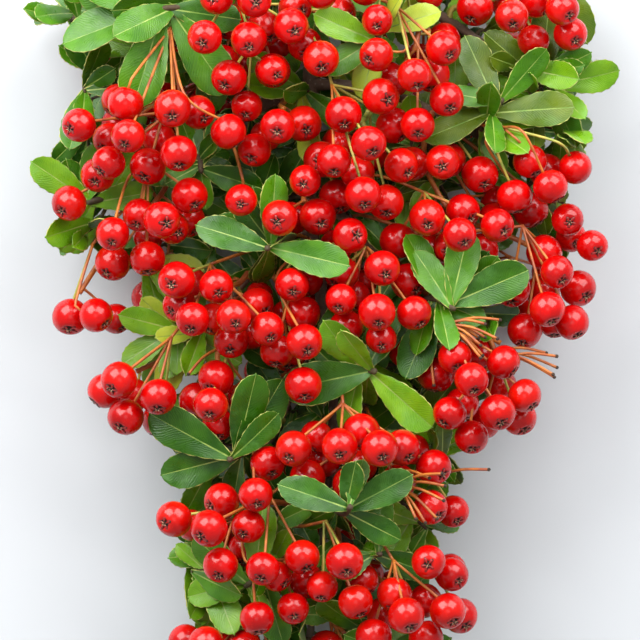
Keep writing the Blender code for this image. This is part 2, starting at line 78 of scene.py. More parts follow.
# name: heart x, heart y, layer, half-width, half-height, tilt in degrees, fruits, seed
fruitClusters = {
    "fruit_upper_left": (-39.0, 45.5, 1.0, 15.2, 7.4, 6, 11, 1),
    "fruit_left_middle": (-41.0, 21.8, 0.85, 12.0, 5.0, 30, 6, 2),
    "fruit_left_pair": (-52.1, 0.9, 0.6, 6.0, 1.5, 0, 2, 3),
    "fruit_centre_left": (-22.5, 1.9, 1.0, 13.0, 4.4, -22, 7, 4),
    "fruit_centre": (-6.6, -1.6, 1.0, 4.0, 11.4, 10, 6, 5),
    "fruit_lower_left": (-42.7, -19.7, 0.85, 8.2, 5.4, -42, 7, 6),
    "fruit_lower_left_inner": (-23.7, -18.8, 0.9, 7.6, 5.0, 8, 6, 7),
    "fruit_top_left": (-18.0, 68.0, 0.85, 13.0, 8.0, 0, 10, 8),
    "fruit_centre_upper_left": (-10.7, 44.0, 0.9, 6.0, 3.0, 25, 3, 9),
    "fruit_middle_pair": (-8.8, 24.6, 1.05, 7.4, 1.4, 0, 2, 10),
    "fruit_centre_upper": (10.4, 39.0, 1.0, 7.4, 11.4, 0, 9, 11),
    "fruit_upper_right_inner": (21.3, 61.0, 0.95, 9.0, 12.0, 12, 10, 12),
    "fruit_right_upper_inner": (29.2, 37.0, 0.75, 7.6, 2.6, -8, 5, 13),
    "fruit_right_inner": (30.0, 20.5, 0.85, 11.0, 5.2, 0, 8, 14),
    "fruit_centre_right": (14.7, 5.9, 0.9, 10.7, 9.0, -30, 10, 15),
    "fruit_right_upper": (51.5, 31.8, 0.75, 7.6, 4.6, 18, 6, 16),
    "fruit_right_middle": (53.0, 6.5, 0.75, 7.0, 7.6, 0, 7, 17),
    "fruit_top_right": (48.6, 71.5, 0.75, 10.6, 4.4, -8, 6, 18),
    "fruit_right_lower": (38.0, -18.0, 0.95, 8.6, 9.4, 20, 10, 19),
    "fruit_low_centre": (10.7, -32.9, 1.0, 14.0, 6.6, -8, 9, 20),
    "fruit_low_left_small": (-13.5, -38.0, 0.95, 3.0, 6.0, 0, 3, 21),
    "fruit_lower_left_bottom": (-19.0, -52.1, 0.9, 13.6, 5.6, -26, 8, 22),
    "fruit_lower_centre": (6.4, -58.5, 0.95, 6.4, 6.0, 0, 6, 23),
    "fruit_bottom_right": (20.5, -70.0, 0.85, 10.6, 5.0, 12, 8, 24),
    "fruit_low_right_pair": (27.5, -43.8, 0.7, 4.6, 1.4, -10, 2, 25),
    "fruit_bottom_left": (-24.5, -76.5, 0.55, 6.4, 2.0, 0, 3, 26),
    "fruit_bottom_tip": (2.0, -84.0, 0.5, 7.0, 4.4, 0, 5, 27),
    "fruit_back_upper_left": (-30.0, 50.0, -0.95, 13.0, 9.0, 0, 6, 28),
    "fruit_back_upper_right": (30.0, 48.0, -0.95, 13.0, 9.0, 0, 6, 29),
    "fruit_back_middle": (8.0, 4.0, -0.95, 15.0, 9.0, 0, 6, 30),
    "fruit_back_lower": (-4.0, -44.0, -0.9, 11.0, 9.0, 0, 6, 31),
}

# name: node x, node y, layer, leaf length, leaf directions seen from the front, leaves
# added round the twig, seed, bough whose tip carries it
leafSprays = {
    "leaves_top_left": (-38.0, 73.0, 1.0, 25.0, (199, 254, 308), 5, 41, "upper_left_bough"),
    "leaves_right_edge": (55.5, 56.0, 0.3, 18.0, (10, -60, 85, 140), 4, 42, "upper_right_bough"),
    "leaves_left_edge": (-57.5, 28.0, 0.3, 17.0, (77, 10, 150, 235), 4, 43, "left_bough"),
    "leaves_upper_right": (43.5, 51.5, 1.0, 19.0, (50, 118, 201, 8), 4, 44, "right_bough"),
    "leaves_left_light": (-34.5, -3.0, 0.35, 17.0, (216, 177, 330, 250), 4, 45,
                          "lower_left_bough"),
    "leaves_right_node": (31.5, 4.0, 1.2, 21.0, (73, 19, 112, 250), 4, 46, "lower_right_bough"),
    "leaves_low_right": (23.0, -47.0, 0.35, 12.0, (42, -60, -100, 5), 4, 47, "low_right_bough"),
    "leaves_low_left": (-19.5, -34.5, 1.1, 22.0, (152, 60, 195), 4, 48, "low_left_bough"),
    "leaves_bottom_left": (-18.5, -63.5, 0.8, 18.0, (143, 180, 83, 222, 285), 4, 49,
                           "bottom_left_bough"),
    "leaves_bottom_tip": (-3.0, -88.0, 0.1, 17.0, (265, 300, 230, 200, 340), 4, 50, "main_stem"),
    "leaves_centre_left": (-13.3, 16.6, 1.35, 20.0, (163, -12, 80), 3, 51, None),
    "leaves_centre_node": (12.6, -12.8, 0.95, 22.0, (188, 322, 46), 3, 52, None),
    "leaves_low_centre": (5.9, -42.0, 1.35, 17.0, (159, 26, 330), 3, 53, None),
    "leaves_bottom_right": (15.4, -55.0, 1.1, 14.0, (83, 195, -20), 3, 54, None),
    "leaves_top_right_centre": (11.4, 65.2, 1.1, 16.0, (160, 209, 255, 20), 3, 55, None),
    "leaves_top_centre": (1.0, 82.0, 0.45, 19.0, (95, 180, 262, 30), 4, 56, None),
    "leaves_left_upper": (-27.7, 36.7, 0.7, 15.0, (-15, 60, 190, 97), 3, 57, None),
    "leaves_back_left": (-22.0, 24.0, -0.6, 20.0, (20, 100, 190, 280), 6, 58, None),
    "leaves_back_right": (24.0, -16.0, -0.6, 20.0, (0, 80, 170, 260), 6, 59, None),
}


def heightAt(x, layer):
    # 1 is the crown's upper face and -1 its lower one
    share = max(0.0, 1.0 - (x / crown["halfSpread"]) ** 2)
    depth = crown["upperDepth"] if layer > 0 else crown["lowerDepth"]
    return crown["middleHeight"] + layer * depth * math.sqrt(share)


def crownPoint(x, y, layer):
    return Vector((x, y, heightAt(x, layer)))


def sideOf(layer):
    return 1 if layer > 0 else -1


def wander(rng, most=1.0):
    # a random step along each axis
    return Vector([rng.uniform(-most, most) for _ in range(3)])


def turned(turn, climb):
    return Vector((math.cos(turn) * math.cos(climb), math.sin(turn) * math.cos(climb),
                   math.sin(climb)))


def bend(start, control, end, steps):
    points = []
    for i in range(steps + 1):
        t = i / steps
        points.append(start * (1 - t) ** 2 + control * 2 * t * (1 - t) + end * t * t)
    return points


def lengthOf(points):
    return sum((a - b).length for a, b in zip(points, points[1:]))


def limbPoint(limb, share):
    # place, direction and radius at a share of a limb's length
    points, radii = limb
    left = share * lengthOf(points)
    for i, (a, b) in enumerate(zip(points, points[1:])):
        run = (b - a).length
        if left <= run or i == len(points) - 2:
            t = min(1.0, left / run)
            return a.lerp(b, t), (b - a).normalized(), radii[i] * (1 - t) + radii[i + 1] * t
        left -= run


def squareTo(direction, along):
    return (direction - along * direction.dot(along)).normalized()


class Room:
    # the balls that fill what has been placed, each with the number of its owner, and the
    # square cells that they lie in as seen from above
    cell = 8.0
    reach = 5.2

    def __init__(self):
        self.rows = np.zeros((100000, 5))
        self.count = 0
        self.numbers = {}
        self.cells = {}

    def numberOf(self, owner):
        return self.numbers.setdefault(owner, len(self.numbers))

    def add(self, owner, balls):
        number = self.numberOf(owner)
        for p, r in balls:
            self.rows[self.count] = (*p, r, number)
            spot = (math.floor(p[0] / self.cell), math.floor(p[1] / self.cell))
            self.cells.setdefault(spot, []).append(self.count)
            self.count += 1

    def slimLeaves(self, radius):
        # a leaf's balls shrink towards the real thickness of its blade
        numbers = [n for owner, n in self.numbers.items() if owner and owner.endswith(" leaves")]
        self.rows[np.isin(self.rows[:, 4], numbers), 3] = radius

    def clear(self, owner, balls, also=None, gap=growth["gap"]):
        mine = np.array([[*p, r] for p, r in balls])
        own = (self.numberOf(owner), self.numberOf(also))
        return all(self.clearFew(mine[k:k + 8], own, gap) for k in range(0, len(mine), 8))

    def clearFew(self, mine, own, gap):
        reach = mine[:, 3].max() + self.reach
        low = mine[:, :3].min(axis=0) - reach
        high = mine[:, :3].max(axis=0) + reach
        near = []
        for i in range(math.floor(low[0] / self.cell), math.floor(high[0] / self.cell) + 1):
            for j in range(math.floor(low[1] / self.cell), math.floor(high[1] / self.cell) + 1):
                near += self.cells.get((i, j), ())
        if not near:
            return True
        others = self.rows[near]
        others = others[(others[:, 4] != own[0]) & (others[:, 4] != own[1])
                        & (others[:, 2] > low[2]) & (others[:, 2] < high[2])]
        away = ((mine[:, None, :3] - others[None, :, :3]) ** 2).sum(axis=2)
        return bool((away > (mine[:, None, 3] + others[None, :, 3] + gap) ** 2).all())


def tubeBalls(points, radii, step=1.0):
    balls = []
    for i in range(len(points) - 1):
        count = max(1, int((points[i + 1] - points[i]).length / step))
        for k in range(count + 1):
            t = k / count
            balls.append((points[i].lerp(points[i + 1], t),
                          radii[i] * (1 - t) + radii[i + 1] * t))
    return balls


def leafFrame(leaf, along, across):
    # a place on a blade that is folded along its midrib and curls down
    base, direction, face, length, width, fold, curl = leaf
    side = face.cross(direction)
    lift = abs(across) * width * fold - curl * length * along ** 2
    return base + direction * length * along + side * across * width + face * lift


def halfWidthAt(along):
    outline = growth["leafOutline"][::-1]
    for (a, wideA), (b, wideB) in zip(outline, outline[1:]):
        if along <= b:
            return wideA + (wideB - wideA) * (along - a) / (b - a)
    return 0.0


def leafBalls(leaf, radius=0.75):
    balls = []
    for i in range(2, 12):
        wide = halfWidthAt(i / 11)
        for across in (-0.86, -0.43, 0.0, 0.43, 0.86):
            balls.append((leafFrame(leaf, i / 11, across * wide), radius))
    return balls


def growLimbs(room):
    limbs = {}
    steps = 15
    points = []
    radii = []
    for i in range(steps + 1):
        share = i / steps
        y = stem["cutY"] + (stem["tipY"] - stem["cutY"]) * share
        turn = 2 * math.pi * (stem["cutY"] - y) / stem["swayLength"]
        x = stem["sway"] * math.cos(turn)
        z = crown["middleHeight"] + 1.5 * math.cos(turn * 0.7) - 2.0 * share
        points.append(Vector((x, y, z)))
        radii.append(stem["cutRadius"] + (stem["tipRadius"] - stem["cutRadius"]) * share ** 0.85)
    points[0] = points[1] + Vector((0, stem["cutY"] - points[1].y, 0))
    limbs["main_stem"] = (points, radii)
    room.add("main_stem", tubeBalls(points, radii))
    for name, (share, x, y, layer, rootRadius) in boughs.items():
        centre, along, thick = limbPoint(limbs["main_stem"], share)
        tip = crownPoint(x, y, layer)
        out = squareTo(tip - centre, along)
        start = centre + out * (thick + growth["gap"])
        control = start.lerp(tip, 0.5) + Vector((0, 5.0, 2.0))
        path = [start] + bend(start + out * 2.0, control, tip, 6)
        radii = [rootRadius * (1 - 0.5 * i / (len(path) - 1)) for i in range(len(path))]
        limbs[name] = (path, radii)
        room.add(name, tubeBalls(path, radii))
    return limbs


def rootsFor(goal, limbs, tipOf):
    # places on the limbs where a stalk to the goal may start, the best one first
    if tipOf:
        points = limbs[tipOf][0]
        along = (points[-1] - points[-2]).normalized()
        return [(0.0, tipOf, points[-1] + along * growth["gap"], along)]
    roots = []
    for name, limb in limbs.items():
        for k in range(2, 40):
            centre, along, thick = limbPoint(limb, k / 41)
            out = squareTo(goal - centre, along)
            start = centre + out * (thick + growth["gap"])
            run = goal - start
            cost = run.length + 1.2 * max(0.0, 3.0 + run.y)
            if run.length > 5.0:
                roots.append((cost, name, start, out))
    return sorted(roots, key=lambda root: root[0])[:60]


def outAndOver(start, out, control, goal):
    # a little straight out of the bark, then in one bend to the goal
    first = min(1.8, (goal - start).length * 0.2)
    return [start] + bend(start + out * first, control, goal, 2)


def route(owner, goal, limbs, room, rng, radius, tipOf=None, lift=0.0, most=60):
    # a curved stalk from a limb to the goal that touches nothing
    for _, limb, start, out in rootsFor(goal, limbs, tipOf)[:most]:
        for _ in range(growth["routeTries"]):
            run = (goal - start).length
            control = start.lerp(goal, 0.5) + wander(rng) * run * 0.3 + Vector((0, lift * run, 0))
            path = outAndOver(start, out, control, goal)
            radii = [radius * (1.0 - 0.25 * i / 3) for i in range(4)]
            if min(p.z for p in path) < radius:
                continue
            balls = tubeBalls(path, radii)
            if room.clear(owner, balls, limb) and room.clear(owner, balls[3:]):
                room.add(owner, balls)
                return path, radii
    return None


def firstStalk(owner, goals, limbs, room, rng, radius, joint, gap=growth["gap"], **ways):
    # a stalk to the first of the goals that has room for a joint and can be reached
    for goal in goals:
        if room.clear("", [(goal, joint)], gap=gap):
            stalk = route(owner, goal, limbs, room, rng, radius, **ways)
            if stalk:
                return stalk
    return None


def clusterSpace(name, spread=1.0, depth=1.0):
    # the heart, half-sizes and turn of the egg that a cluster fills
    x, y, layer, halfX, halfY, tilt = fruitClusters[name][:6]
    deep = growth["clusterDepth"][0] * (halfX + halfY) + growth["clusterDepth"][1]
    half = Vector((halfX * spread, halfY * spread, deep * depth))
    return crownPoint(x, y, layer), half, Matrix.Rotation(math.radians(tilt), 3, "Z")


def scoreOf(point, radius, heart, placed, side):
    # berries stand apart as seen from above, and rather near the crown's face
    spread = min([(point - other[0]).xy.length for other in placed], default=0.0)
    return min(spread, radius * 1.9) + 0.12 * (point.z - heart.z) * side


def placeFruit(name, room):
    layer, count, seed = (fruitClusters[name][k] for k in (2, 6, 7))
    rng = random.Random(seed)
    heart, half, turn = clusterSpace(name)
    placed = []
    for _ in range(count):
        best = None
        radius = growth["fruitRadius"] * rng.uniform(*growth["fruitSizes"])
        for attempt in range(growth["fruitTries"]):
            reach = 1.0 + attempt * 0.0015
            spot = wander(rng) * reach
            if spot.length > reach:
                continue
            point = heart + turn @ (spot * half)
            point.z = max(point.z, radius)
            if any((point - q).length < radius + r + 0.15 for q, r in placed):
                continue
            if not room.clear(name, [(point, radius)]):
                continue
            score = scoreOf(point, radius, heart, placed, sideOf(layer))
            if best is None or score > best[0]:
                best = (score, point, radius)
        if best:
            placed.append(best[1:])
            room.add(name, [best[1:]])
    return placed


def addBerry(cluster, thin, point, radius):
    cluster["pedicels"].append(thin)
    cluster["berries"].append((point, (point - thin[0][-2]).normalized(), radius))


def growCluster(name, fruit, limbs, room):
    layer, halfY, seed = (fruitClusters[name][k] for k in (2, 4, 7))
    rng = random.Random(seed + 500)
    middle = sum((p for p, r in fruit), Vector()) / len(fruit)
    below = sideOf(layer)
    goals = (middle + Vector((rng.uniform(-stray, stray), halfY * 0.5 + rng.uniform(1, 2 + stray),
                              -below * rng.uniform(5, 10)))
             for stray in (3.0 + k * 0.06 for k in range(90)))
    stalk = firstStalk(name, goals, limbs, room, rng, growth["stalkRadius"], growth["stalkRadius"],
                       lift=0.12)
    hub = stalk[0][-1]
    cluster = {"carriers": [stalk], "pedicels": [], "berries": []}
    order = sorted(fruit, key=lambda f: math.atan2((f[0] - hub).y, (f[0] - hub).x))
    groups = max(1, round(len(order) / growth["perFork"]))
    for g in range(groups):
        members = order[g * len(order) // groups:(g + 1) * len(order) // groups]
        mean = sum((p for p, r in members), Vector()) / len(members)
        carrier = stalk
        if g:
            share = 1.0 - (growth["forkStep"] * g - 1.0) / lengthOf(stalk[0])
            start = limbPoint(stalk, share)[0]
            joint = start.lerp(mean, 0.45) + Vector((0, 1.0, -below))
            if room.clear("", [(joint, 0.6)]):
                carrier = [start, joint], [growth["stalkRadius"] * share for share in (0.85, 0.75)]
                cluster["carriers"].append(carrier)
                room.add(name, tubeBalls(*carrier))
        step = growth["forkStep"] / lengthOf(carrier[0])
        for k, (point, radius) in enumerate(members):
            starts = [limbPoint(carrier, max(0.1, 0.96 - step * (k + i)))[0] for i in (0, 1.5)]
            thin = fruitStalk(name, starts, point, radius, room, rng)
            if thin:
                addBerry(cluster, thin, point, radius)
    return cluster


def fruitStalk(name, starts, point, radius, room, rng, attempts=16, gap=growth["gap"]):
    # a thin stalk from a joint to the middle of a fruit, bent where it has to be
    pedicel = growth["pedicelRadius"]
    for attempt in range(attempts):
        start = starts[attempt % len(starts)]
        middle = start.lerp(point, 0.5)
        if attempt > 1:
            middle += wander(rng) * (point - start).length * 0.35
        last = point - (point - middle).normalized() * radius * 0.9
        thin = [pedicel, pedicel, pedicel * 0.85]
        balls = tubeBalls([start, middle, last], thin)
        if room.clear(name, balls, gap=gap):
            room.add(name, balls)
            if attempt > 1:
                return [start, middle, point], thin
            return [start, point], thin[1:]
    return None


def growTwig(name, limbs, room):
    x, y, layer, *_, seed, tipOf = leafSprays[name]
    rng = random.Random(seed + 700)
    for _ in range(40):
        goal = crownPoint(x, y, layer) + wander(rng, 2)
        found = route(name, goal, limbs, room, rng, growth["twigRadius"], tipOf)
        if found:
            return found
    return None


def newLeaf(base, angle, rise, length, attempt, ways, rng, share=1.0):
    # base, direction, face, length, half-width, fold and curl, further astray at each attempt
    stray = ways["stray"] + attempt * ways["strayMore"]
    turn = angle + rng.uniform(-stray, stray)
    climb = rise + rng.uniform(-stray, stray) * ways["steep"]
    direction = turned(turn, max(-1.3, min(1.3, climb)))
    tilt = ways["tilt"]
    lean = Vector((rng.uniform(-tilt, tilt), rng.uniform(-tilt, tilt), 1.0))
    size = length * rng.uniform(*ways["sizes"]) * share * (1.0 - ways["shrink"] * attempt)
    return (base - direction * ways["sink"], direction, squareTo(lean, direction), size,
            size * growth["leafWidthShare"] * 0.5, rng.uniform(*growth["leafFolds"]),
            rng.uniform(*growth["leafCurls"]))


# How a leaf is tried: how far it strays from its direction, and how it shrinks at each attempt
firstLeaf = {"tries": 44, "stray": 0.08, "strayMore": 0.02, "steep": 1.3, "tilt": 0.5,
             "sizes": (0.86, 1.05), "shrink": 0.006, "sink": growth["leafSink"]}


def growLeaves(name, twig, room, seen):
    # the leaves in the seen directions, or those that fill in all round their twig
    length, angles, more, seed = leafSprays[name][3:7]
    rng = random.Random(seed + (0 if seen else 300))
    if seen:
        wanted = [(math.radians(angle), 0.0) for angle in angles]
    else:
        wanted = [(rng.uniform(0, 2 * math.pi), rng.choice(growth["fillRises"]))
                  for _ in range(more)]
    others = name + " leaves"
    leaves = []
    for k, (angle, rise) in enumerate(wanted, 0 if seen else len(angles)):
        base = limbPoint(twig, 0.95 - 0.08 * k)[0]
        for attempt in range(firstLeaf["tries"]):
            leaf = newLeaf(base, angle, rise, length, attempt, firstLeaf, rng, 1.0 if seen else 0.85)
            balls = leafBalls(leaf)
            if min(p.z for p, r in balls) < 0.5 or not room.clear(name, balls, others):
                continue
            if room.clear(name, balls[15:]):
                room.add(others, balls)
                leaves.append(leaf)
                break
    return leaves


def growBranch():
    room = Room()
    limbs = growLimbs(room)
    twigs = {name: growTwig(name, limbs, room) for name in leafSprays}
    leaves = {name: growLeaves(name, twigs[name], room, True) for name in leafSprays}
    fruit = {name: placeFruit(name, room) for name in fruitClusters}
    clusters = {name: growCluster(name, fruit[name], limbs, room) for name in fruitClusters}
    for name in leafSprays:
        leaves[name] += growLeaves(name, twigs[name], room, False)
    sprays = {name: {"twigs": [twigs[name]], "leaves": leaves[name]} for name in leafSprays}
    return room, limbs, clusters, sprays


room, limbs, clusters, sprays = growBranch()
print("grown by the rule of the solids:", sum(len(c["berries"]) for c in clusters.values()),
      "berries,", sum(len(s["leaves"]) for s in sprays.values()), "leaves")

# From here the branch is carried on beyond its solids
finer = {"fruitShare": 0.6, "fruitSpread": 1.18, "fruitDepth": 1.7, "fruitGap": 0.04,
         "leafGap": 0.05, "leafBall": 0.35, "leafBallArea": 2.0, "leavesPerTwig": 7,
         "hangRadius": 0.62, "shoots": 130, "knotsTried": 8, "shootLayers": (-0.75, 0.6),
         "leavesPerShoot": 6, "shootRadius": 0.62, "shootLeaf": 18.0, "square": 2.5,
         "skyMargin": 8.0, "halfLength": 96, "triedCover": 60.0, "headroom": 14.0,
         "fruitSizes": (0.86, 1.02), "bunchSizes": (0.86, 1.03), "leafStep": 0.13,
         "twigRises": (-0.9, 0.5), "shootRises": (-0.7, 0.6), "fruitTries": 260, "bunchTries": 220,
         "waves": ((0.045, 0.33), (0.03, 0.81))}

# cluster: x, y and layer of the joint that its long stalks hang from, and how many hang
hangingJoints = {
    "fruit_upper_left": (-36.0, 67.0, 1.05, 7), "fruit_left_middle": (-39.0, 37.0, 0.7, 5),
    "fruit_left_pair": (-54.0, 17.0, 0.5, 2), "fruit_lower_left": (-35.0, -4.0, 0.8, 5),
    "fruit_centre_left": (-26.0, 14.0, 0.8, 5), "fruit_centre": (-5.0, 15.0, 0.9, 4),
    "fruit_centre_upper": (2.0, 56.0, 0.95, 6), "fruit_right_upper": (43.0, 45.0, 0.8, 5),
    "fruit_right_middle": (47.0, 23.0, 0.8, 5), "fruit_right_inner": (25.0, 31.0, 0.9, 5),
    "fruit_right_lower": (29.5, -2.0, 1.05, 8), "fruit_low_right_pair": (18.0, -36.0, 0.9, 2),
    "fruit_lower_left_bottom": (-13.0, -41.0, 0.8, 5), "fruit_lower_centre": (3.0, -46.0, 0.9, 4),
    "fruit_bottom_right": (16.0, -58.0, 0.8, 5), "fruit_upper_right_inner": (17.0, 74.0, 0.9, 5),
    "fruit_top_right": (42.0, 81.0, 0.8, 4), "fruit_centre_right": (11.0, 17.0, 0.9, 5),
    "fruit_low_centre": (6.0, -20.0, 1.0, 5), "fruit_lower_left_inner": (-21.0, -8.0, 0.9, 4),
}

# x, y, layer and berries of the small bunches between the clusters
bunches = ((-50.0, 36.0, 0.6, 2), (-14.0, 59.0, 0.9, 4), (-3.5, 68.0, 0.8, 4), (19.0, 72.0, 0.95, 4),
           (3.0, 33.0, 0.8, 4), (-16.0, 25.0, 1.1, 1), (-23.0, -1.0, 0.6, 4), (27.0, -2.0, 0.6, 4),
           (24.0, -64.0, 0.6, 4), (-8.0, -62.0, 0.8, 4), (38.0, 24.0, 0.6, 4), (0.0, 10.0, 0.8, 4),
           (58.0, 20.0, 0.4, 3), (-8.0, 88.0, 0.6, 4), (30.0, 86.0, 0.6, 4), (-34.0, 86.0, 0.4, 4),
           (-12.0, 62.0, -0.8, 4), (22.0, 20.0, -0.9, 4), (-36.0, 10.0, -0.8, 4), (12.0, -62.0, -0.8, 4),
           (48.0, 60.0, -0.7, 4), (-50.0, 62.0, -0.6, 4), (46.0, 10.0, -0.8, 4), (-12.0, -20.0, -0.9, 4))

# The crown's sides from its cut end to its tip, as y and x
sides = {"left": ((106, -16), (99, -40), (88, -58), (74, -66), (15, -63), (12, -44), (-26, -40),
                  (-34, -36), (-60, -37), (-95, -32), (-110, -18)),
         "right": ((106, 16), (99, 42), (88, 60), (74, 66), (0, 61), (-4, 46), (-25, 46), (-31, 36),
                   (-60, 33), (-95, 30), (-110, 18))}
# The gaps where the sky shows through: x, y, half-width and half-height
skyGaps = ((-60, 54, 3, 7), (-47, 27, 6, 3), (-58, 9, 16, 4), (-30, -9.5, 4, 4), (-23, -8, 4, 3.2),
           (33, 28, 7, 3.4), (54.5, 45, 3, 4.5), (45, 39, 2.4, 3), (47.4, 14.7, 5.5, 4.5),
           (28.7, 6, 1.5, 3), (39, -9, 8, 3.4), (25, -11, 1.6, 4), (20, -14, 2, 2))


def sideAt(side, y):
    # a little wavy, so that the crown isn't clipped like a hedge
    (tall, slow), (low, quick) = finer["waves"]
    shift = 2.0 if side == "left" else 0.0
    wave = 1.0 + tall * math.sin(slow * y + shift) - low * math.cos(quick * y)
    points = sides[side]
    for (upper, a), (lower, b) in zip(points, points[1:]):
        if y >= lower:
            return wave * (a + (b - a) * (upper - y) / (upper - lower))
    return wave * points[-1][1]


def inGap(point, wider=2.0):
    return any(((point.x - x) / (wide + wider)) ** 2 + ((point.y - y) / (high + wider)) ** 2 < 1
               for x, y, wide, high in skyGaps)


def showsSky(point, margin=0.0):
    if point.y > stem["cutY"] - 5:
        return True
    if not sideAt("left", point.y) + margin < point.x < sideAt("right", point.y) - margin:
        return True
    return inGap(point, 0.0)


def freeFor(point, radius):
    # whether a berry has room at the point, which is first brought within the crown's depth
    point.z = min(max(point.z, radius), roomTop - radius)
    if point.y + radius > stem["cutY"] - 2 or inGap(point):
        return False
    return room.clear("", [(point, radius)], gap=finer["fruitGap"])


def hangBest(owner, cluster, found, joints, radius, rng, most, attempts):
    # one berry, at the best place that a stalk from a joint can reach
    for _, point in sorted(found, key=lambda option: option[0])[:most]:
        near = sorted(joints, key=lambda joint: (joint - point).length)[:3]
        thin = fruitStalk(owner, near, point, radius, room, rng, attempts, finer["fruitGap"])
        if thin:
            room.add(owner, [(point, radius)])
            addBerry(cluster, thin, point, radius)
            return


def moreFruit(name):
    # berries that fill the cluster up, each on a stalk of its own from the cluster's joints
    layer, count, seed = (fruitClusters[name][k] for k in (2, 6, 7))
    rng = random.Random(seed + 900)
    cluster = clusters[name]
    heart, half, turn = clusterSpace(name, finer["fruitSpread"], finer["fruitDepth"])
    joints = [limbPoint(carrier, share)[0] for carrier in cluster["carriers"]
              for share in (0.55, 0.75, 0.95)]
    for _ in range(math.ceil(count * finer["fruitShare"])):
        found = []
        radius = growth["fruitRadius"] * rng.uniform(*finer["fruitSizes"])
        for _ in range(finer["fruitTries"]):
            spot = wander(rng)
            point = heart + turn @ (spot * half)
            if spot.length <= 1.0 and freeFor(point, radius):
                score = scoreOf(point, radius, heart, cluster["berries"], sideOf(layer))
                found.append((-score, point))
        hangBest(name, cluster, found, joints, radius, rng, 6, 30)


laterLeaf = {"tries": 30, "stray": 0.15, "strayMore": 0.05, "steep": 1.0, "tilt": 0.6,
             "sizes": (0.75, 1.1), "shrink": 0.012, "sink": 0.2}


def placeLeaf(owner, base, angle, rise, length, rng):
    for attempt in range(laterLeaf["tries"]):
        leaf = newLeaf(base, angle, rise, length, attempt, laterLeaf, rng)
        tip = base + leaf[1] * leaf[3]
        if any(showsSky(base.lerp(tip, share)) for share in (0.4, 0.7, 1.0)):
            continue
        balls = leafBalls(leaf, finer["leafBall"])
        if min(p.z for p, r in balls) < 0.6 or max(p.z for p, r in balls) > roomTop:
            continue
        if room.clear(owner, balls[5:], owner + " leaves", gap=finer["leafGap"]):
            if room.clear(owner, balls[20:], gap=finer["leafGap"]):
                room.add(owner + " leaves", balls)
                return leaf
    return None


def leavesOn(owner, twig, count, highest, length, rises, rng):
    # leaves that stand in turn from the tip of a twig downwards
    leaves = []
    for k in range(count):
        base = limbPoint(twig, highest - finer["leafStep"] * k)[0]
        leaf = placeLeaf(owner, base, rng.uniform(0, 2 * math.pi), rng.uniform(*rises), length, rng)
        leaves += [leaf] if leaf else []
    return leaves


def moreLeaves(name):
    length, seed = leafSprays[name][3], leafSprays[name][6]
    spray = sprays[name]
    spray["leaves"] += leavesOn(name, spray["twigs"][0], finer["leavesPerTwig"], 0.98, length * 0.9,
                                finer["twigRises"], random.Random(seed + 1300))


def hangFruit(name):
    # long stalks that hang from a joint above the cluster take the place of its short ones
    *joint, strands = hangingJoints[name]
    rng = random.Random(fruitClusters[name][7] + 1700)
    cluster = clusters[name]
    goals = (crownPoint(*joint) + wander(rng, 1.5 + k * 0.15) for k in range(30))
    stalk = firstStalk(name, goals, limbs, room, rng, finer["hangRadius"], 0.8, 0.1, lift=0.1, most=30)
    if not stalk:
        return
    cluster["carriers"].append(stalk)
    goal = cluster["joint"] = stalk[0][-1]
    order = sorted(range(len(cluster["berries"])),
                   key=lambda i: (cluster["berries"][i][0] - goal).length - cluster["berries"][i][0].z)
    for i in order:
        point, _, radius = cluster["berries"][i]
        thin = fruitStalk(name, [goal], point, radius, room, rng, 14, finer["fruitGap"])
        if thin:
            cluster["pedicels"][i] = thin
            cluster["berries"][i] = (point, (point - thin[0][-2]).normalized(), radius)
            strands -= 1
        if not strands:
            return


def nearestOf(table, goal, side):
    # the cluster or spray on the same side of the crown that lies nearest to the goal
    alike = [name for name in table if sideOf(table[name][2]) == side]
    return min(alike, key=lambda name: (Vector(table[name][:2]) - goal.xy).length)


def growBunch(number, x, y, layer, count):
    # a few more berries on a stalk of their own, joined to the cluster that lies nearest
    rng = random.Random(number + 2100)
    owner = f"bunch {number}"
    side = sideOf(layer)
    heart = crownPoint(x, y, layer)
    goals = (heart + Vector((rng.uniform(-stray, stray), rng.uniform(3, 5 + stray),
                             -side * rng.uniform(2, 8)))
             for stray in (3.0 + k * 0.1 for k in range(40)))
    stalk = firstStalk(owner, goals, limbs, room, rng, finer["hangRadius"], 0.7, 0.1, lift=0.1, most=24)
    if not stalk:
        return
    cluster = clusters[nearestOf(fruitClusters, heart, side)]
    cluster["carriers"].append(stalk)
    for _ in range(count):
        radius = growth["fruitRadius"] * rng.uniform(*finer["bunchSizes"])
        found = []
        for attempt in range(finer["bunchTries"]):
            away = wander(rng) * (7.0 + attempt * 0.02)
            point = heart + away
            if freeFor(point, radius):
                found.append((away.length - 0.5 * side * away.z, point))
        hangBest(owner, cluster, found, [stalk[0][-1]], radius, rng, 8, 20)


def turnFruit():
    # the berries hang a little, with their basins turned outwards
    rng = random.Random(31)
    for name, cluster in clusters.items():
        side = sideOf(fruitClusters[name][2])
        for i, (point, axis, radius) in enumerate(cluster["berries"]):
            pull = Vector((rng.uniform(-0.2, 0.2), -0.3, side * rng.uniform(0.25, 1.1)))
            cluster["berries"][i] = (point, (axis + pull).normalized(), radius)


def crownMask(xs, ys):
    # the small squares that lie in the crown and outside the gaps
    return np.array([[not showsSky(Vector((x, y, 0)), finer["skyMargin"])
                      and abs(y) <= finer["halfLength"] for y in ys] for x in xs])


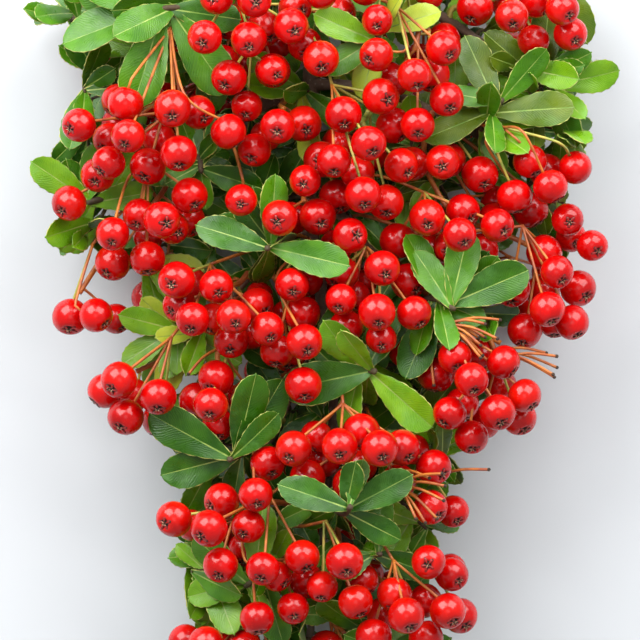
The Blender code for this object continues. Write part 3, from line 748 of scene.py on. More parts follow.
def thinnest(inCrown, tried):
    # the small square of the crown that leaves and berries cover the least, seen from above
    rows = room.rows[:room.count]
    rows = rows[~np.isin(rows[:, 4], [room.numberOf(name) for name in limbs])]
    areas = np.where(rows[:, 3] > 1.5, math.pi * rows[:, 3] ** 2, finer["leafBallArea"])
    cover = np.histogram2d(rows[:, 0], rows[:, 1], bins=inCrown.shape, weights=areas,
                           range=((-70, 70), (-100, 100)))[0]
    steps = (-2, -1, 0, 1, 2)
    spread = sum(np.roll(cover, (i, j), (0, 1)) for i in steps for j in steps)
    spread = spread + tried * finer["triedCover"] + (1 - inCrown) * 1e6
    return np.unravel_index(np.argmin(spread), spread.shape)


def knotsOf(owner, limb, count):
    return [(*limbPoint(limb, (k + 1) / (count + 1)), owner) for k in range(count)]


def shootTo(owner, goal, knots, rng):
    # a thin twig to the goal from one of the nearest knots, or nothing if all ways are blocked
    radius = finer["shootRadius"]
    near = sorted(knots, key=lambda knot: (knot[0] - goal).length + max(0.0, goal.y - knot[0].y))
    for centre, along, thick, limb in near[:finer["knotsTried"]]:
        out = squareTo(goal - centre, along)
        start = centre + out * (thick + growth["gap"])
        run = (goal - start).length
        if run < 4.0:
            continue
        for _ in range(3):
            control = start.lerp(goal, 0.5) + wander(rng) * run * 0.3
            path = outAndOver(start, out, control, goal)
            radii = [radius * (1.0 - 0.1 * i) for i in range(4)]
            balls = tubeBalls(path, radii)
            if min(p.z for p in path) < radius + 0.5 or showsSky(path[2]) or showsSky(path[3]):
                continue
            if room.clear(owner, balls, limb):
                room.add(owner, balls)
                return path, radii
    return None


def growShoots():
    # leafy shoots where the crown is thinnest, one after the other
    rng = random.Random(77)
    square = finer["square"]
    xs = np.arange(-70, 70, square) + square / 2
    ys = np.arange(-100, 100, square) + square / 2
    inCrown = crownMask(xs, ys)
    tried = np.zeros(inCrown.shape)
    knots = [knot for name in limbs for knot in knotsOf(name, limbs[name], 30)]
    for name in sprays:
        knots += knotsOf(name, sprays[name]["twigs"][0], 5)
    for number in range(finer["shoots"]):
        i, j = thinnest(inCrown, tried)
        tried[max(i - 1, 0):i + 2, max(j - 1, 0):j + 2] += 1
        owner = f"shoot {number}"
        twig = None
        for _ in range(6):
            x, y = xs[i] + rng.uniform(-2, 2), ys[j] + rng.uniform(-2, 2)
            goal = crownPoint(x, y, rng.uniform(*finer["shootLayers"]))
            if room.clear("", [(goal, 1.0)]):
                twig = shootTo(owner, goal, knots, rng)
            if twig:
                break
        if not twig:
            continue
        leaves = leavesOn(owner, twig, finer["leavesPerShoot"], 1.0, finer["shootLeaf"],
                          finer["shootRises"], rng)
        if len(leaves) < 2:
            continue
        knots += knotsOf(owner, twig, 4)
        nearest = nearestOf(leafSprays, goal, sideOf(goal.z - crown["middleHeight"] + 5.0))
        sprays[nearest]["twigs"].append(twig)
        sprays[nearest]["leaves"] += leaves


roomTop = crown["middleHeight"] + crown["upperDepth"] + finer["headroom"]
room.slimLeaves(finer["leafBall"])
for name in hangingJoints:
    hangFruit(name)
for name in fruitClusters:
    moreFruit(name)
for number, bunch in enumerate(bunches):
    growBunch(number, *bunch)
turnFruit()
growShoots()
for name in leafSprays:
    moreLeaves(name)
print("carried on to:", sum(len(c["berries"]) for c in clusters.values()), "berries,",
      sum(len(s["leaves"]) for s in sprays.values()), "leaves,",
      sum(len(s["twigs"]) for s in sprays.values()), "twigs")


def ring(bm, sides, here):
    made = bmesh.ops.create_circle(bm, cap_ends=True, radius=1.0, segments=sides, matrix=here)
    return made["verts"][0].link_faces[0]


def facesOf(verts):
    return {face for vert in verts for face in vert.link_faces}


def addTube(bm, points, radii, sides, material=0):
    # a closed tube through the points, made by drawing out a round face
    side = squareTo(Vector((0.31, 0.17, 0.94)), (points[1] - points[0]).normalized())
    verts = []
    face = None
    last = None
    for i, point in enumerate(points):
        before = points[max(i - 1, 0)]
        after = points[min(i + 1, len(points) - 1)]
        along = (after - before).normalized()
        side = squareTo(side, along)
        turn = Matrix((side, along.cross(side), along)).transposed().to_4x4()
        here = Matrix.Translation(point) @ turn @ Matrix.Scale(radii[i], 4)
        if face is None:
            face = ring(bm, sides, here)
            face.normal_flip()
        else:
            grown = bmesh.ops.extrude_face_region(bm, geom=[face])["geom"]
            if i > 1:
                bmesh.ops.delete(bm, geom=[face], context="FACES_ONLY")
            face = next(g for g in grown if isinstance(g, bmesh.types.BMFace))
            bmesh.ops.transform(bm, matrix=here @ last.inverted(), verts=face.verts)
        verts += list(face.verts)
        last = here
    for face in facesOf(verts):
        face.material_index = material


def smoothPath(points, radii, step):
    # a rounder path with a ring about every step, through the same points
    path = []
    thick = []
    for i in range(len(points) - 1):
        a, b = points[max(i - 1, 0)], points[i]
        c, d = points[i + 1], points[min(i + 2, len(points) - 1)]
        count = max(2, round((c - b).length / step))
        for k in range(count if i < len(points) - 2 else count + 1):
            t = k / count
            path.append(0.5 * ((2 * b) + (c - a) * t + (2 * a - 5 * b + 4 * c - d) * t * t
                               + (3 * b - a - 3 * c + d) * t ** 3))
            thick.append(radii[i] * (1 - t) + radii[i + 1] * t)
    return path, thick


def rooted(points, radii, depth, swell):
    # the same path, begun a little inside the limb that it springs from
    first = points[0] - (points[1] - points[0]).normalized() * depth
    return [first] + points, [radii[0] * swell] + radii


def frameMatrix():
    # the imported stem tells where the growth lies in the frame
    bm = bmesh.new()
    addTube(bm, *limbs["main_stem"], stem["solidSides"])
    low = Vector([min(vert.co[k] for vert in bm.verts) for k in range(3)])
    bm.free()
    millimetre = 0.001
    return Matrix.Translation(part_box("main_stem")[0] - low * millimetre) @ Matrix.Scale(millimetre, 4)


toFrame = frameMatrix()
floorHeight = (toFrame.inverted() @ Vector((0, 0, 0))).z
wholeScene = bpy.context.scene.collection
shown = bpy.data.collections.new("firethorn branch")
wholeScene.children.link(shown)


def addObject(name, data, group):
    made = bpy.data.objects.new(name, data)
    group.objects.link(made)
    return made


def finishPiece(bm, name, ending, materials, closed=True):
    bmesh.ops.transform(bm, matrix=toFrame, verts=bm.verts)
    if closed:
        bmesh.ops.recalc_face_normals(bm, faces=bm.faces)
    mesh = bpy.data.meshes.new(name)
    bm.to_mesh(mesh)
    bm.free()
    mesh.shade_smooth()
    for material in materials:
        mesh.materials.append(material)
    piece = addObject(name.replace("_", "-") + ending, mesh, shown)
    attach(piece, "root")
    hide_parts(name)
    return piece


class Finish:
    # a Principled material with a short way to add the nodes of its pattern
    def __init__(self, name, colour, roughness, **sockets):
        self.material = bpy.data.materials.new(name)
        self.material.use_nodes = True
        self.tree = self.material.node_tree
        self.shader = self.tree.nodes["Principled BSDF"]
        self.shader.inputs["Base Color"].default_value = (*colour, 1.0)
        self.shader.inputs["Roughness"].default_value = roughness
        for socket, value in sockets.items():
            self.shader.inputs[socket.replace("_", " ")].default_value = value

    def add(self, kind, inputs=None, **settings):
        node = self.tree.nodes.new("ShaderNode" + kind)
        for setting, value in settings.items():
            setattr(node, setting, value)
        for socket, value in (inputs or {}).items():
            if isinstance(value, bpy.types.NodeSocket):
                self.tree.links.new(value, node.inputs[socket])
            else:
                node.inputs[socket].default_value = value
        return node

    def place(self, kind="Object"):
        return self.add("TexCoord").outputs[kind]

    def noise(self, scale, detail=2.0, **inputs):
        return self.add("TexNoise", {"Vector": self.place(), "Scale": scale, "Detail": detail,
                                     **inputs}).outputs["Fac"]

    def math(self, operation, a, b=0.0):
        return self.add("Math", {0: a, 1: b}, operation=operation).outputs[0]

    def between(self, value, low, high, start=0.0, end=1.0):
        return self.add("MapRange", {"Value": value, "From Min": low, "From Max": high,
                                     "To Min": start, "To Max": end}).outputs["Result"]

    def mix(self, factor, a, b):
        node = self.add("Mix", {"Factor": factor}, data_type="RGBA")
        for socket, value in (("A", a), ("B", b)):
            target = next(i for i in node.inputs if i.name == socket and i.type == "RGBA")
            if isinstance(value, bpy.types.NodeSocket):
                self.tree.links.new(value, target)
            else:
                target.default_value = (*value, 1.0)
        return next(o for o in node.outputs if o.type == "RGBA")

    def paint(self, colour):
        self.tree.links.new(colour, self.shader.inputs["Base Color"])

    def rough(self, value):
        self.tree.links.new(value, self.shader.inputs["Roughness"])

    def bump(self, height, strength, distance):
        node = self.add("Bump", {"Height": height, "Strength": strength, "Distance": distance})
        self.tree.links.new(node.outputs["Normal"], self.shader.inputs["Normal"])


# Limbs: bark relief over the stem and the boughs, and a pale cut at the stem's end
bark = {"colour": (0.085, 0.05, 0.03), "pale": (0.24, 0.19, 0.14), "ringStep": 0.8,
        "stemSides": 28, "boughSides": 18, "relief": 0.16, "knots": 0.7, "rootDepth": 1.6,
        "rootSwell": 1.35, "rim": 0.35, "smoothEnd": 0.4, "wood": (0.62, 0.46, 0.27),
        "woodRings": (0.47, 0.31, 0.16)}


def barkFinish(name, dark, pale):
    finish = Finish(name, dark, 0.75)
    streaks = finish.noise(420.0, 5.0, Roughness=0.65)
    spots = finish.add("TexVoronoi", {"Vector": finish.place(), "Scale": 700.0}).outputs["Distance"]
    pores = finish.between(spots, 0.22, 0.1)
    lichen = finish.between(finish.noise(90.0, 3.0), 0.5, 0.68)
    colour = finish.mix(finish.between(streaks, 0.35, 0.7), dark, tuple(c * 1.9 for c in dark))
    colour = finish.mix(lichen, colour, pale)
    finish.paint(finish.mix(finish.math("MULTIPLY", pores, 0.7), colour, pale))
    finish.bump(streaks, 0.7, 0.0003)
    return finish.material


def woodFinish():
    finish = Finish("cutWood", bark["wood"], 0.7)
    rings = finish.add("TexWave", {"Vector": finish.place(), "Scale": 260.0, "Distortion": 1.5},
                       wave_type="RINGS", rings_direction="Y").outputs["Fac"]
    finish.paint(finish.mix(rings, bark["wood"], bark["woodRings"]))
    finish.bump(finish.noise(2500.0), 0.3, 0.0001)
    return finish.material


barkMaterial = barkFinish("bark", bark["colour"], bark["pale"])
woodMaterial = woodFinish()


def buildLimb(name):
    points, radii = limbs[name]
    cut = name == "main_stem"
    if not cut:
        points, radii = rooted(points, radii, bark["rootDepth"], bark["rootSwell"])
    path, thick = smoothPath(points, radii, bark["ringStep"])
    bm = bmesh.new()
    addTube(bm, path, thick, bark["stemSides" if cut else "boughSides"])
    bm.normal_update()
    for vert in bm.verts:
        if cut and vert.co.y > stem["cutY"] - bark["smoothEnd"]:
            continue
        spot = vert.co
        ridges = noise.fractal(Vector((spot.x * 0.9, spot.y * 0.28, spot.z * 0.9)), 0.9, 2.0, 4)
        knots = max(0.0, noise.noise(spot * 0.33)) ** 2
        vert.co = spot + vert.normal * (ridges * bark["relief"] + knots * bark["knots"])
    if cut:
        end = max(bm.faces, key=lambda face: face.calc_center_median().y)
        bmesh.ops.inset_region(bm, faces=[end], thickness=bark["rim"], depth=0.0)
        end.material_index = 1
    finishPiece(bm, name, "-bark", (barkMaterial, woodMaterial))


for name in limbs:
    buildLimb(name)
print("limbs barked:", len(limbs))

# Berries: a few faces each, rounded by one subdivision, with a basin, five sepals that fold
# inwards over it and a few dry flecks
berry = {"steps": 10, "swell": 1.05, "flatness": 0.88,
         "profile": ((0.0, -0.78), (0.13, -0.90), (0.50, -0.88), (0.88, -0.50), (1.0, 0.02),
                     (0.88, 0.52), (0.58, 0.85), (0.36, 0.93), (0.23, 0.84), (0.0, 0.78)),
         "sepalReach": 0.225, "sepalWidth": 0.165, "flecks": 5,
         "colour": (0.58, 0.001, 0.0008), "deep": (0.34, 0.0, 0.0004), "warm": (0.61, 0.005, 0.001),
         "speck": (0.72, 0.03, 0.008)}


def berryFinish():
    finish = Finish("berrySkin", berry["colour"], 0.22, Coat_Weight=0.3, Coat_Roughness=0.08,
                    Specular_IOR_Level=0.28)
    clouds = finish.noise(150.0, 5.0)
    ripeness = finish.between(finish.noise(38.0, 1.0), 0.5, 0.62)
    cells = finish.add("TexVoronoi", {"Vector": finish.place(), "Scale": 1500.0})
    specks = finish.between(cells.outputs["Distance"], 0.2, 0.1, 0.0, 0.4)
    colour = finish.mix(ripeness, berry["colour"], berry["warm"])
    colour = finish.mix(finish.between(clouds, 0.38, 0.72), colour, berry["deep"])
    finish.paint(finish.mix(specks, colour, berry["speck"]))
    dents = finish.math("ADD", finish.noise(330.0, 3.0), finish.math("MULTIPLY", specks, -0.25))
    finish.bump(dents, 0.24, 0.0004)
    return finish.material


def plainFinish(name, colour, other, roughness, scale, **sockets):
    # two plain tones in soft patches
    finish = Finish(name, colour, roughness, **sockets)
    patches = finish.between(finish.noise(scale, 3.0), 0.38, 0.64)
    finish.paint(finish.mix(patches, colour, other))
    finish.bump(finish.noise(scale * 4.0, 2.0), 0.2, 0.0001)
    return finish.material


berryMaterials = (
    berryFinish(),
    plainFinish("calyxBasin", (0.010, 0.003, 0.002), (0.035, 0.006, 0.004), 0.75, 2500.0),
    plainFinish("sepal", (0.40, 0.006, 0.004), (0.17, 0.010, 0.006), 0.36, 2300.0),
    plainFinish("sepalTip", (0.62, 0.40, 0.24), (0.22, 0.09, 0.05), 0.6, 2600.0),
)


def berryShape(seed):
    rng = random.Random(seed)
    bm = bmesh.new()
    verts = [bm.verts.new((r, 0.0, z * berry["flatness"])) for r, z in berry["profile"]]
    edges = [bm.edges.new(pair) for pair in zip(verts, verts[1:])]
    bmesh.ops.spin(bm, geom=verts + edges, cent=(0, 0, 0), axis=(0, 0, 1), dvec=(0, 0, 0),
                   angle=2 * math.pi, steps=berry["steps"], use_merge=True, use_duplicate=False)
    bmesh.ops.remove_doubles(bm, verts=bm.verts, dist=0.0001)
    for face in bm.faces:
        middle = face.calc_center_median()
        if middle.z > 0.6 and middle.xy.length < 0.22:
            face.material_index = 1
    for vert in bm.verts:
        vert.co *= berry["swell"] * (1.0 + 0.05 * noise.noise(vert.co * 1.1 + Vector((seed, 0, 0))))
    top = 0.88 * berry["flatness"] * berry["swell"]
    for k in range(5):
        turn = Matrix.Rotation(2 * math.pi * k / 5 + rng.uniform(-0.15, 0.15), 4, "Z")
        long = berry["sepalReach"] * rng.uniform(0.85, 1.15)
        tilt = Matrix.Rotation(math.radians(rng.uniform(-4, 16)), 4, "Y")
        here = turn @ Matrix.Translation((long + 0.01, 0, top)) @ tilt
        shape = Matrix.Diagonal((long, berry["sepalWidth"], 0.07, 1.0))
        made = bmesh.ops.create_cube(bm, size=2.0, matrix=here @ shape)["verts"]
        inner = [v for v in made if (turn.inverted() @ v.co).x < long]
        bmesh.ops.scale(bm, vec=(0.2, 0.2, 1.0), verts=inner,
                        space=Matrix.Translation(-sum((v.co for v in inner), Vector()) / 4))
        for face in facesOf(made):
            upper = sum(v.co.z > top for v in face.verts) > 2
            tip = all(v in inner for v in face.verts)
            face.material_index = 2 if upper else 3 if tip else 1
    for k in range(berry["flecks"]):
        spin = Matrix.Rotation(rng.uniform(0, 6.28), 4, "Z")
        here = spin @ Matrix.Translation((rng.uniform(0.04, 0.2), 0, top + 0.06))
        lean = Matrix.Rotation(rng.uniform(0.5, 1.2), 4, "Y")
        made = bmesh.ops.create_cone(bm, cap_ends=True, segments=3, radius1=0.06, radius2=0.025,
                                     depth=rng.uniform(0.12, 0.24), matrix=here @ lean)["verts"]
        for face in facesOf(made):
            face.material_index = 3 if k % 4 else 1
    mesh = bpy.data.meshes.new(f"berry shape {seed}")
    bm.to_mesh(mesh)
    bm.free()
    return mesh


berryShapes = [berryShape(seed) for seed in range(6)]


def buildBerries(name):
    rng = random.Random(name)
    bm = bmesh.new()
    for point, axis, radius in clusters[name]["berries"]:
        point = Vector((point.x, point.y, max(point.z, radius * 1.09 + floorHeight)))
        start = len(bm.verts)
        bm.from_mesh(rng.choice(berryShapes))
        bm.verts.ensure_lookup_table()
        spin = Matrix.Rotation(rng.uniform(0, 6.28), 4, "Z")
        turn = axis.to_track_quat("Z", "Y").to_matrix().to_4x4()
        here = Matrix.Translation(point) @ turn @ spin @ Matrix.Scale(radius, 4)
        bmesh.ops.transform(bm, matrix=here, verts=bm.verts[start:])
    piece = finishPiece(bm, name, "-berries", berryMaterials)
    rounding = piece.modifiers.new("rounding", "SUBSURF")
    rounding.levels = rounding.render_levels = 1


for name in clusters:
    buildBerries(name)
for mesh in berryShapes:
    bpy.data.meshes.remove(mesh)
print("berries made in", len(clusters), "clusters")

# Fruit stalks: orange to yellow-green, a little thicker at their joints and under each berry
stalks = {"sides": 6, "step": 1.6, "jointSwell": 1.35, "endSwell": 1.4, "slim": 0.82,
          "rootDepth": 1.2, "sameColour": 0.8, "bareLengths": (8.0, 17.0), "bareTries": 90,
          "orange": (0.54, 0.17, 0.022), "rust": (0.34, 0.075, 0.022),
          "yellow": (0.52, 0.40, 0.07), "green": (0.24, 0.30, 0.05)}

stalkMaterials = (
    plainFinish("orangeStalk", stalks["orange"], stalks["rust"], 0.45, 320.0),
    plainFinish("yellowStalk", stalks["yellow"], stalks["green"], 0.45, 260.0),
    plainFinish("dryTip", (0.02, 0.012, 0.008), (0.06, 0.03, 0.015), 0.8, 1500.0),
)
yellowClusters = ("fruit_centre_upper", "fruit_right_upper_inner", "fruit_top_left",
                  "fruit_low_left_small", "fruit_top_right")
# cluster: how many stalks have lost their berry, and between which directions they point
bareStalks = {"fruit_right_lower": (14, -85, 5), "fruit_low_right_pair": (8, -60, 30),
              "fruit_lower_left_inner": (3, -150, -40), "fruit_bottom_left": (2, -150, -40)}


def addStalk(bm, points, radii, colour, swell=(1.0, 1.0), sides=stalks["sides"]):
    path, thick = smoothPath(points, [r * stalks["slim"] for r in radii], stalks["step"])
    thick[0] *= swell[0]
    thick[-1] *= swell[1]
    addTube(bm, path, thick, sides, colour)


def buildStalks(name):
    rng = random.Random(name + " stalks")
    cluster = clusters[name]
    bm = bmesh.new()
    colour = 1 if name in yellowClusters else 0
    first = rooted(*cluster["carriers"][0], stalks["rootDepth"], stalks["jointSwell"])
    addStalk(bm, *first, colour, sides=stalks["sides"] + 2)
    for carrier in cluster["carriers"][1:]:
        addStalk(bm, *carrier, colour)
    swell = (stalks["jointSwell"], stalks["endSwell"])
    for (points, radii), (point, axis, radius) in zip(cluster["pedicels"], cluster["berries"]):
        outer = points[:-1] + [point - axis * radius * 0.74]
        own = colour if rng.random() < stalks["sameColour"] else 1 - colour
        addStalk(bm, outer, [radii[0]] * len(outer), own, swell)
    count, *angles = bareStalks.get(name, (0,))
    for _ in range(count):
        addBareStalk(bm, name, angles, rng, colour)
    finishPiece(bm, name, "-stalks", stalkMaterials)


def addBareStalk(bm, name, angles, rng, colour):
    # a stalk whose berry has dropped, with a dry black end
    radii = [growth["pedicelRadius"]] * 3
    for _ in range(stalks["bareTries"]):
        carrier = rng.choice(clusters[name]["carriers"])
        start = limbPoint(carrier, rng.uniform(0.6, 1.0))[0]
        if rng.random() < 0.7:
            start = clusters[name].get("joint", start)
        angle = math.radians(rng.uniform(*angles))
        out = Vector((math.cos(angle), math.sin(angle), rng.uniform(0.0, 0.8))).normalized()
        long = rng.uniform(*stalks["bareLengths"])
        end = start + out * long
        path = [start, start + out * long * 0.5 + Vector((0, 1.0, 0.6)), end]
        balls = tubeBalls(path, [r * stalks["slim"] for r in radii])
        if end.z < 1.0 or not room.clear(name, balls) or not room.clear("", balls[6:], gap=0.1):
            continue
        room.add(name, balls)
        addStalk(bm, path, radii, colour)
        tip = bmesh.ops.create_icosphere(bm, subdivisions=1, radius=0.5,
                                         matrix=Matrix.Translation(end))["verts"]
        for face in facesOf(tip):
            face.material_index = 2
        return


for name in clusters:
    buildStalks(name)
print("stalks made")

# Leaves: a folded, toothed blade with a midrib, a pale edge and soft patches of painted sheen, and a
# paler underside
leafShape = {"rows": 16, "columns": 7, "petiole": 0.5, "rib": 0.2, "edge": 0.12, "tooth": 0.12,
             "wave": 0.12, "thickness": 0.24, "veins": 28.0, "veinSlant": 0.22,
             "paintedSheen": (0.16, 0.40, 0.09)}

# name: main colour, lighter colour, vein colour
leafTints = {
    "dark": ((0.015, 0.076, 0.001), (0.038, 0.135, 0.002), (0.07, 0.20, 0.01)),
    "mid": ((0.034, 0.138, 0.001), (0.076, 0.225, 0.002), (0.14, 0.33, 0.015)),
    "bright": ((0.090, 0.245, 0.002), (0.165, 0.345, 0.005), (0.26, 0.45, 0.03)),
    "olive": ((0.042, 0.096, 0.001), (0.100, 0.152, 0.002), (0.18, 0.25, 0.02)),
    "young": ((0.300, 0.420, 0.020), (0.420, 0.500, 0.040), (0.50, 0.58, 0.10)),
}
tintOrder = tuple(leafTints)
sprayTints = {
    "leaves_top_left": ("mid", "mid", "dark"), "leaves_right_edge": ("mid", "olive", "bright"),
    "leaves_left_edge": ("mid", "dark", "bright"), "leaves_upper_right": ("olive", "mid", "bright"),
    "leaves_left_light": ("bright", "bright", "young"), "leaves_right_node": ("mid", "dark", "mid"),
    "leaves_low_right": ("bright", "mid", "olive"), "leaves_low_left": ("dark", "mid", "dark"),
    "leaves_bottom_left": ("mid", "bright", "bright"), "leaves_bottom_tip": ("bright", "mid", "mid"),
    "leaves_centre_left": ("mid", "dark", "mid"), "leaves_centre_node": ("dark", "mid", "bright"),
    "leaves_low_centre": ("dark", "mid", "dark"), "leaves_bottom_right": ("dark", "mid", "dark"),
    "leaves_top_right_centre": ("bright", "mid", "young"), "leaves_top_centre": ("mid", "dark", "bright"),
    "leaves_left_upper": ("mid", "dark", "mid"), "leaves_back_left": ("dark", "mid", "dark"),
    "leaves_back_right": ("dark", "mid", "dark"),
}


def bladeFinish(tint):
    main, lighter, vein = leafTints[tint]
    finish = Finish(tint + "Blade", main, 0.34, Specular_IOR_Level=0.36)
    split = finish.add("SeparateXYZ", {"Vector": finish.place("UV")})
    along, across = split.outputs["X"], split.outputs["Y"]
    fromRib = finish.math("ABSOLUTE", finish.math("SUBTRACT", across, 0.5))
    slant = finish.math("MULTIPLY", fromRib, leafShape["veinSlant"] * 2.0)
    order = finish.math("MULTIPLY", finish.math("SUBTRACT", along, slant), leafShape["veins"])
    wobble = finish.math("MULTIPLY", finish.noise(320.0, 3.0), 3.4)
    phase = finish.math("FRACT", finish.math("ADD", order, wobble))
    ridge = finish.math("ABSOLUTE", finish.math("SUBTRACT", phase, 0.5))
    line = finish.between(ridge, 0.40, 0.5)
    patches = finish.between(finish.noise(170.0, 3.0), 0.35, 0.68)
    colour = finish.mix(patches, main, lighter)
    # painted sheen: soft paler green patches mixed into the blade's colour, standing in for the gloss of
    # the lamps
    paintedSheen = finish.between(finish.noise(120.0, 5.0, Roughness=0.65), 0.54, 0.74, 0.0, 0.28)
    colour = finish.mix(paintedSheen, colour, leafShape["paintedSheen"])
    finish.paint(finish.mix(finish.math("MULTIPLY", line, 0.42), colour, vein))
    finish.rough(finish.between(finish.noise(500.0, 4.0), 0.3, 0.7, 0.22, 0.46))
    quilt = finish.math("ADD", finish.between(ridge, 0.5, 0.1), finish.noise(1100.0, 3.0))
    finish.bump(quilt, 0.18, 0.0002)
    return finish.material


leafMaterials = tuple(bladeFinish(tint) for tint in tintOrder) + (
    plainFinish("midrib", (0.30, 0.40, 0.08), (0.12, 0.25, 0.03), 0.4, 300.0),
    plainFinish("leafEdge", (0.46, 0.46, 0.11), (0.09, 0.18, 0.015), 0.45, 190.0),
    plainFinish("leafBack", (0.11, 0.21, 0.07), (0.15, 0.26, 0.09), 0.55, 240.0),
)
ribSlot, edgeSlot, backSlot = len(tintOrder), len(tintOrder) + 1, len(tintOrder) + 2


def outlineAt(along, blunt):
    # from a leaf that is widest at its middle to one that is widest near its tip
    slim = along ** 0.7 * max(0.0, 1.0 - along ** 2.6) ** 0.62 / 0.579
    broad = along ** 0.85 * max(0.0, 1.0 - along ** 3.5) ** 0.5 / 0.627
    return slim + (broad - slim) * blunt


def acrossAt(column, wide, along, width):
    # half-widths of the edge, the blade and the midrib, as shares of the leaf's half-width
    rib = leafShape["rib"] * (1.0 - 0.7 * along) / width
    inner = wide - leafShape["edge"] / width
    steps = (wide, inner, (inner + rib) * 0.5, rib)
    return -steps[column] if column < 4 else steps[7 - column]


def addLeaf(bm, leaf, tint, rng):
    rows, columns = leafShape["rows"], leafShape["columns"]
    made = bmesh.ops.create_grid(bm, x_segments=rows, y_segments=columns, size=1.0)
    face, width = leaf[2], leaf[4]
    phase, twist, blunt = rng.uniform(0, 6.28), rng.uniform(-0.25, 0.25), rng.uniform(0.0, 0.8)
    uv = bm.loops.layers.uv.verify()
    spots = {}
    for vert in made["verts"]:
        row = round((vert.co.x + 1.0) * 0.5 * rows)
        column = round((vert.co.y + 1.0) * 0.5 * columns)
        along = 0.996 * (1.0 - (1.0 - row / rows) ** 1.5)
        wide = max(outlineAt(along, blunt), leafShape["petiole"] / width)
        inRib = column in (3, 4)
        reach = acrossAt(column, wide, along, width)
        across = reach / wide
        if column in (0, columns) and 0 < row < rows:
            reach *= 1.0 + (1 if row % 2 else -1) * leafShape["tooth"] / (width * wide)
        spots[vert] = (along, across, inRib)
        place = leafFrame(leaf, along, reach)
        ruffle = math.sin(along * 9.0 + phase + (1.5 if across > 0 else 0.0)) * leafShape["wave"]
        bow = (ruffle * across * across - 0.10 * abs(across) ** 3 + twist * across * along) * wide
        if inRib:
            bow -= 0.03
        if row == rows and inRib:
            place += leaf[1] * 0.35
        vert.co = place + face * width * bow
        vert.co.z = max(vert.co.z, floorHeight + 0.3)
    faces = facesOf(made["verts"])
    for side in faces:
        rims = sum(abs(spots[v][1]) > 0.999 for v in side.verts)
        side.material_index = tint
        if rims == 2:
            side.material_index = edgeSlot
        if all(spots[v][2] for v in side.verts):
            side.material_index = ribSlot
        for loop in side.loops:
            along, across, inRib = spots[loop.vert]
            loop[uv].uv = (along, across * 0.5 + 0.5)
    if sum((f.normal for f in faces), Vector()).dot(face) < 0:
        bmesh.ops.reverse_faces(bm, faces=list(faces))


def buildLeaves(name):
    rng = random.Random(name + " looks")
    bm = bmesh.new()
    for leaf in sprays[name]["leaves"]:
        addLeaf(bm, leaf, tintOrder.index(rng.choice(sprayTints[name])), rng)
    piece = finishPiece(bm, name, "-blades", leafMaterials, closed=False)
    body = piece.modifiers.new("blade", "SOLIDIFY")
    body.thickness = leafShape["thickness"] * 0.001
    body.offset = -1.0
    body.material_offset = backSlot


for name in sprays:
    buildLeaves(name)
print("leaves made in", len(sprays), "sprays")

# Twigs: short brown shoots with knobs where the leaves stand
twigs = {"sides": 8, "step": 1.2, "knob": 1.08, "rootDepth": 1.4, "rootSwell": 1.25, "taper": 0.25,
         "uneven": (0.92, 1.14), "colour": (0.045, 0.028, 0.012), "pale": (0.075, 0.065, 0.022)}
twigMaterial = barkFinish("twigBark", twigs["colour"], twigs["pale"])


def buildTwigs(name):
    rng = random.Random(name + " twigs")
    bm = bmesh.new()
    for points, radii in sprays[name]["twigs"]:
        path, thick = smoothPath(*rooted(points, radii, twigs["rootDepth"], twigs["rootSwell"]),
                                 twigs["step"])
        thick = [r * rng.uniform(*twigs["uneven"]) * (1.0 - twigs["taper"] * k / len(thick))
                 for k, r in enumerate(thick)]
        addTube(bm, path, thick, twigs["sides"])
        here = Matrix.Translation(points[-1]) @ Matrix.Scale(thick[-1] * twigs["knob"], 4)
        knob = bmesh.ops.create_icosphere(bm, subdivisions=2, radius=1.0, matrix=here)["verts"]
        for vert in knob:
            vert.co += (vert.co - points[-1]) * noise.noise(vert.co * 1.4) * 0.5
    finishPiece(bm, name, "-twigs", (twigMaterial,))


for name in sprays:
    buildTwigs(name)
print("twigs made")

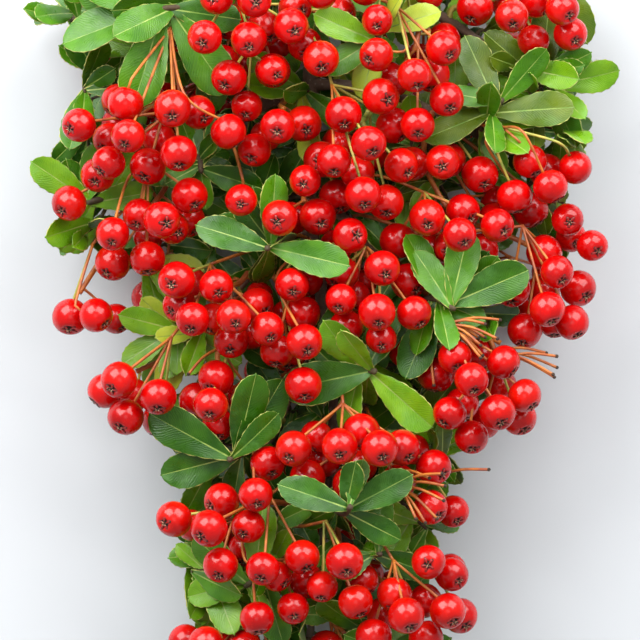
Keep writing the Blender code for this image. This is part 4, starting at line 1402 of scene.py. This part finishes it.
# Floor, light and camera
studio = {"floor": (0.58, 0.60, 0.62), "floorSize": 3.0, "world": (0.96, 0.98, 1.0),
          "worldStrength": 0.48, "boxDistance": 0.62, "boxSize": 0.5, "boxHeight": 38.0,
          "boxAngles": (-40.0, 36.0), "boxPower": (6.4, 5.1), "topPower": 0.9, "topSize": 0.5,
          "topHeight": 89.0, "topDistance": 1.3}


def buildFloor():
    bm = bmesh.new()
    bmesh.ops.create_grid(bm, x_segments=1, y_segments=1, size=studio["floorSize"] / 2)
    mesh = bpy.data.meshes.new("floor")
    bm.to_mesh(mesh)
    bm.free()
    mesh.materials.append(Finish("floorPaint", studio["floor"], 0.85).material)
    floor = addObject("floor", mesh, wholeScene)


def softBox(name, azimuth, height, distance, size, power):
    light = bpy.data.lights.new(name, "AREA")
    light.shape = "SQUARE"
    light.size = size
    light.energy = power
    box = addObject(name, light, wholeScene)
    a, e = math.radians(azimuth), math.radians(height)
    away = Vector((math.sin(a) * math.cos(e), math.cos(a) * math.cos(e), math.sin(e)))
    box.location = Vector((0, 0, 0.03)) + away * distance
    box.rotation_euler = away.to_track_quat("Z", "Y").to_euler()
    box.visible_camera = False


def buildStudio():
    for k, azimuth in enumerate(studio["boxAngles"]):
        softBox(f"soft box {k}", azimuth, studio["boxHeight"], studio["boxDistance"],
                studio["boxSize"], studio["boxPower"][k])
    softBox("top light", 0.0, studio["topHeight"], studio["topDistance"], studio["topSize"],
            studio["topPower"])
    world = bpy.data.worlds.new("studio")
    world.use_nodes = True
    background = world.node_tree.nodes["Background"]
    background.inputs["Color"].default_value = (*studio["world"], 1.0)
    background.inputs["Strength"].default_value = studio["worldStrength"]
    bpy.context.scene.world = world
    bpy.context.scene.view_settings.view_transform = "Standard"


# The photograph is 640 pixels wide, and a pixel is 0.237 mm at the crown's upper half
camera = {"pixel": 0.237, "pixelsWide": 640, "distance": 1000.0, "plane": 32.0, "sensor": 36.0}


def buildCamera():
    data = bpy.data.cameras.new("camera")
    data.sensor_width = camera["sensor"]
    wide = camera["pixel"] * camera["pixelsWide"]
    data.lens = camera["sensor"] * camera["distance"] / wide
    data.clip_end = 10.0
    eye = addObject("camera", data, wholeScene)
    eye.location = toFrame @ Vector((0, 0, camera["plane"] + camera["distance"]))
    bpy.context.scene.camera = eye


buildFloor()
buildStudio()
buildCamera()
print("studio ready")
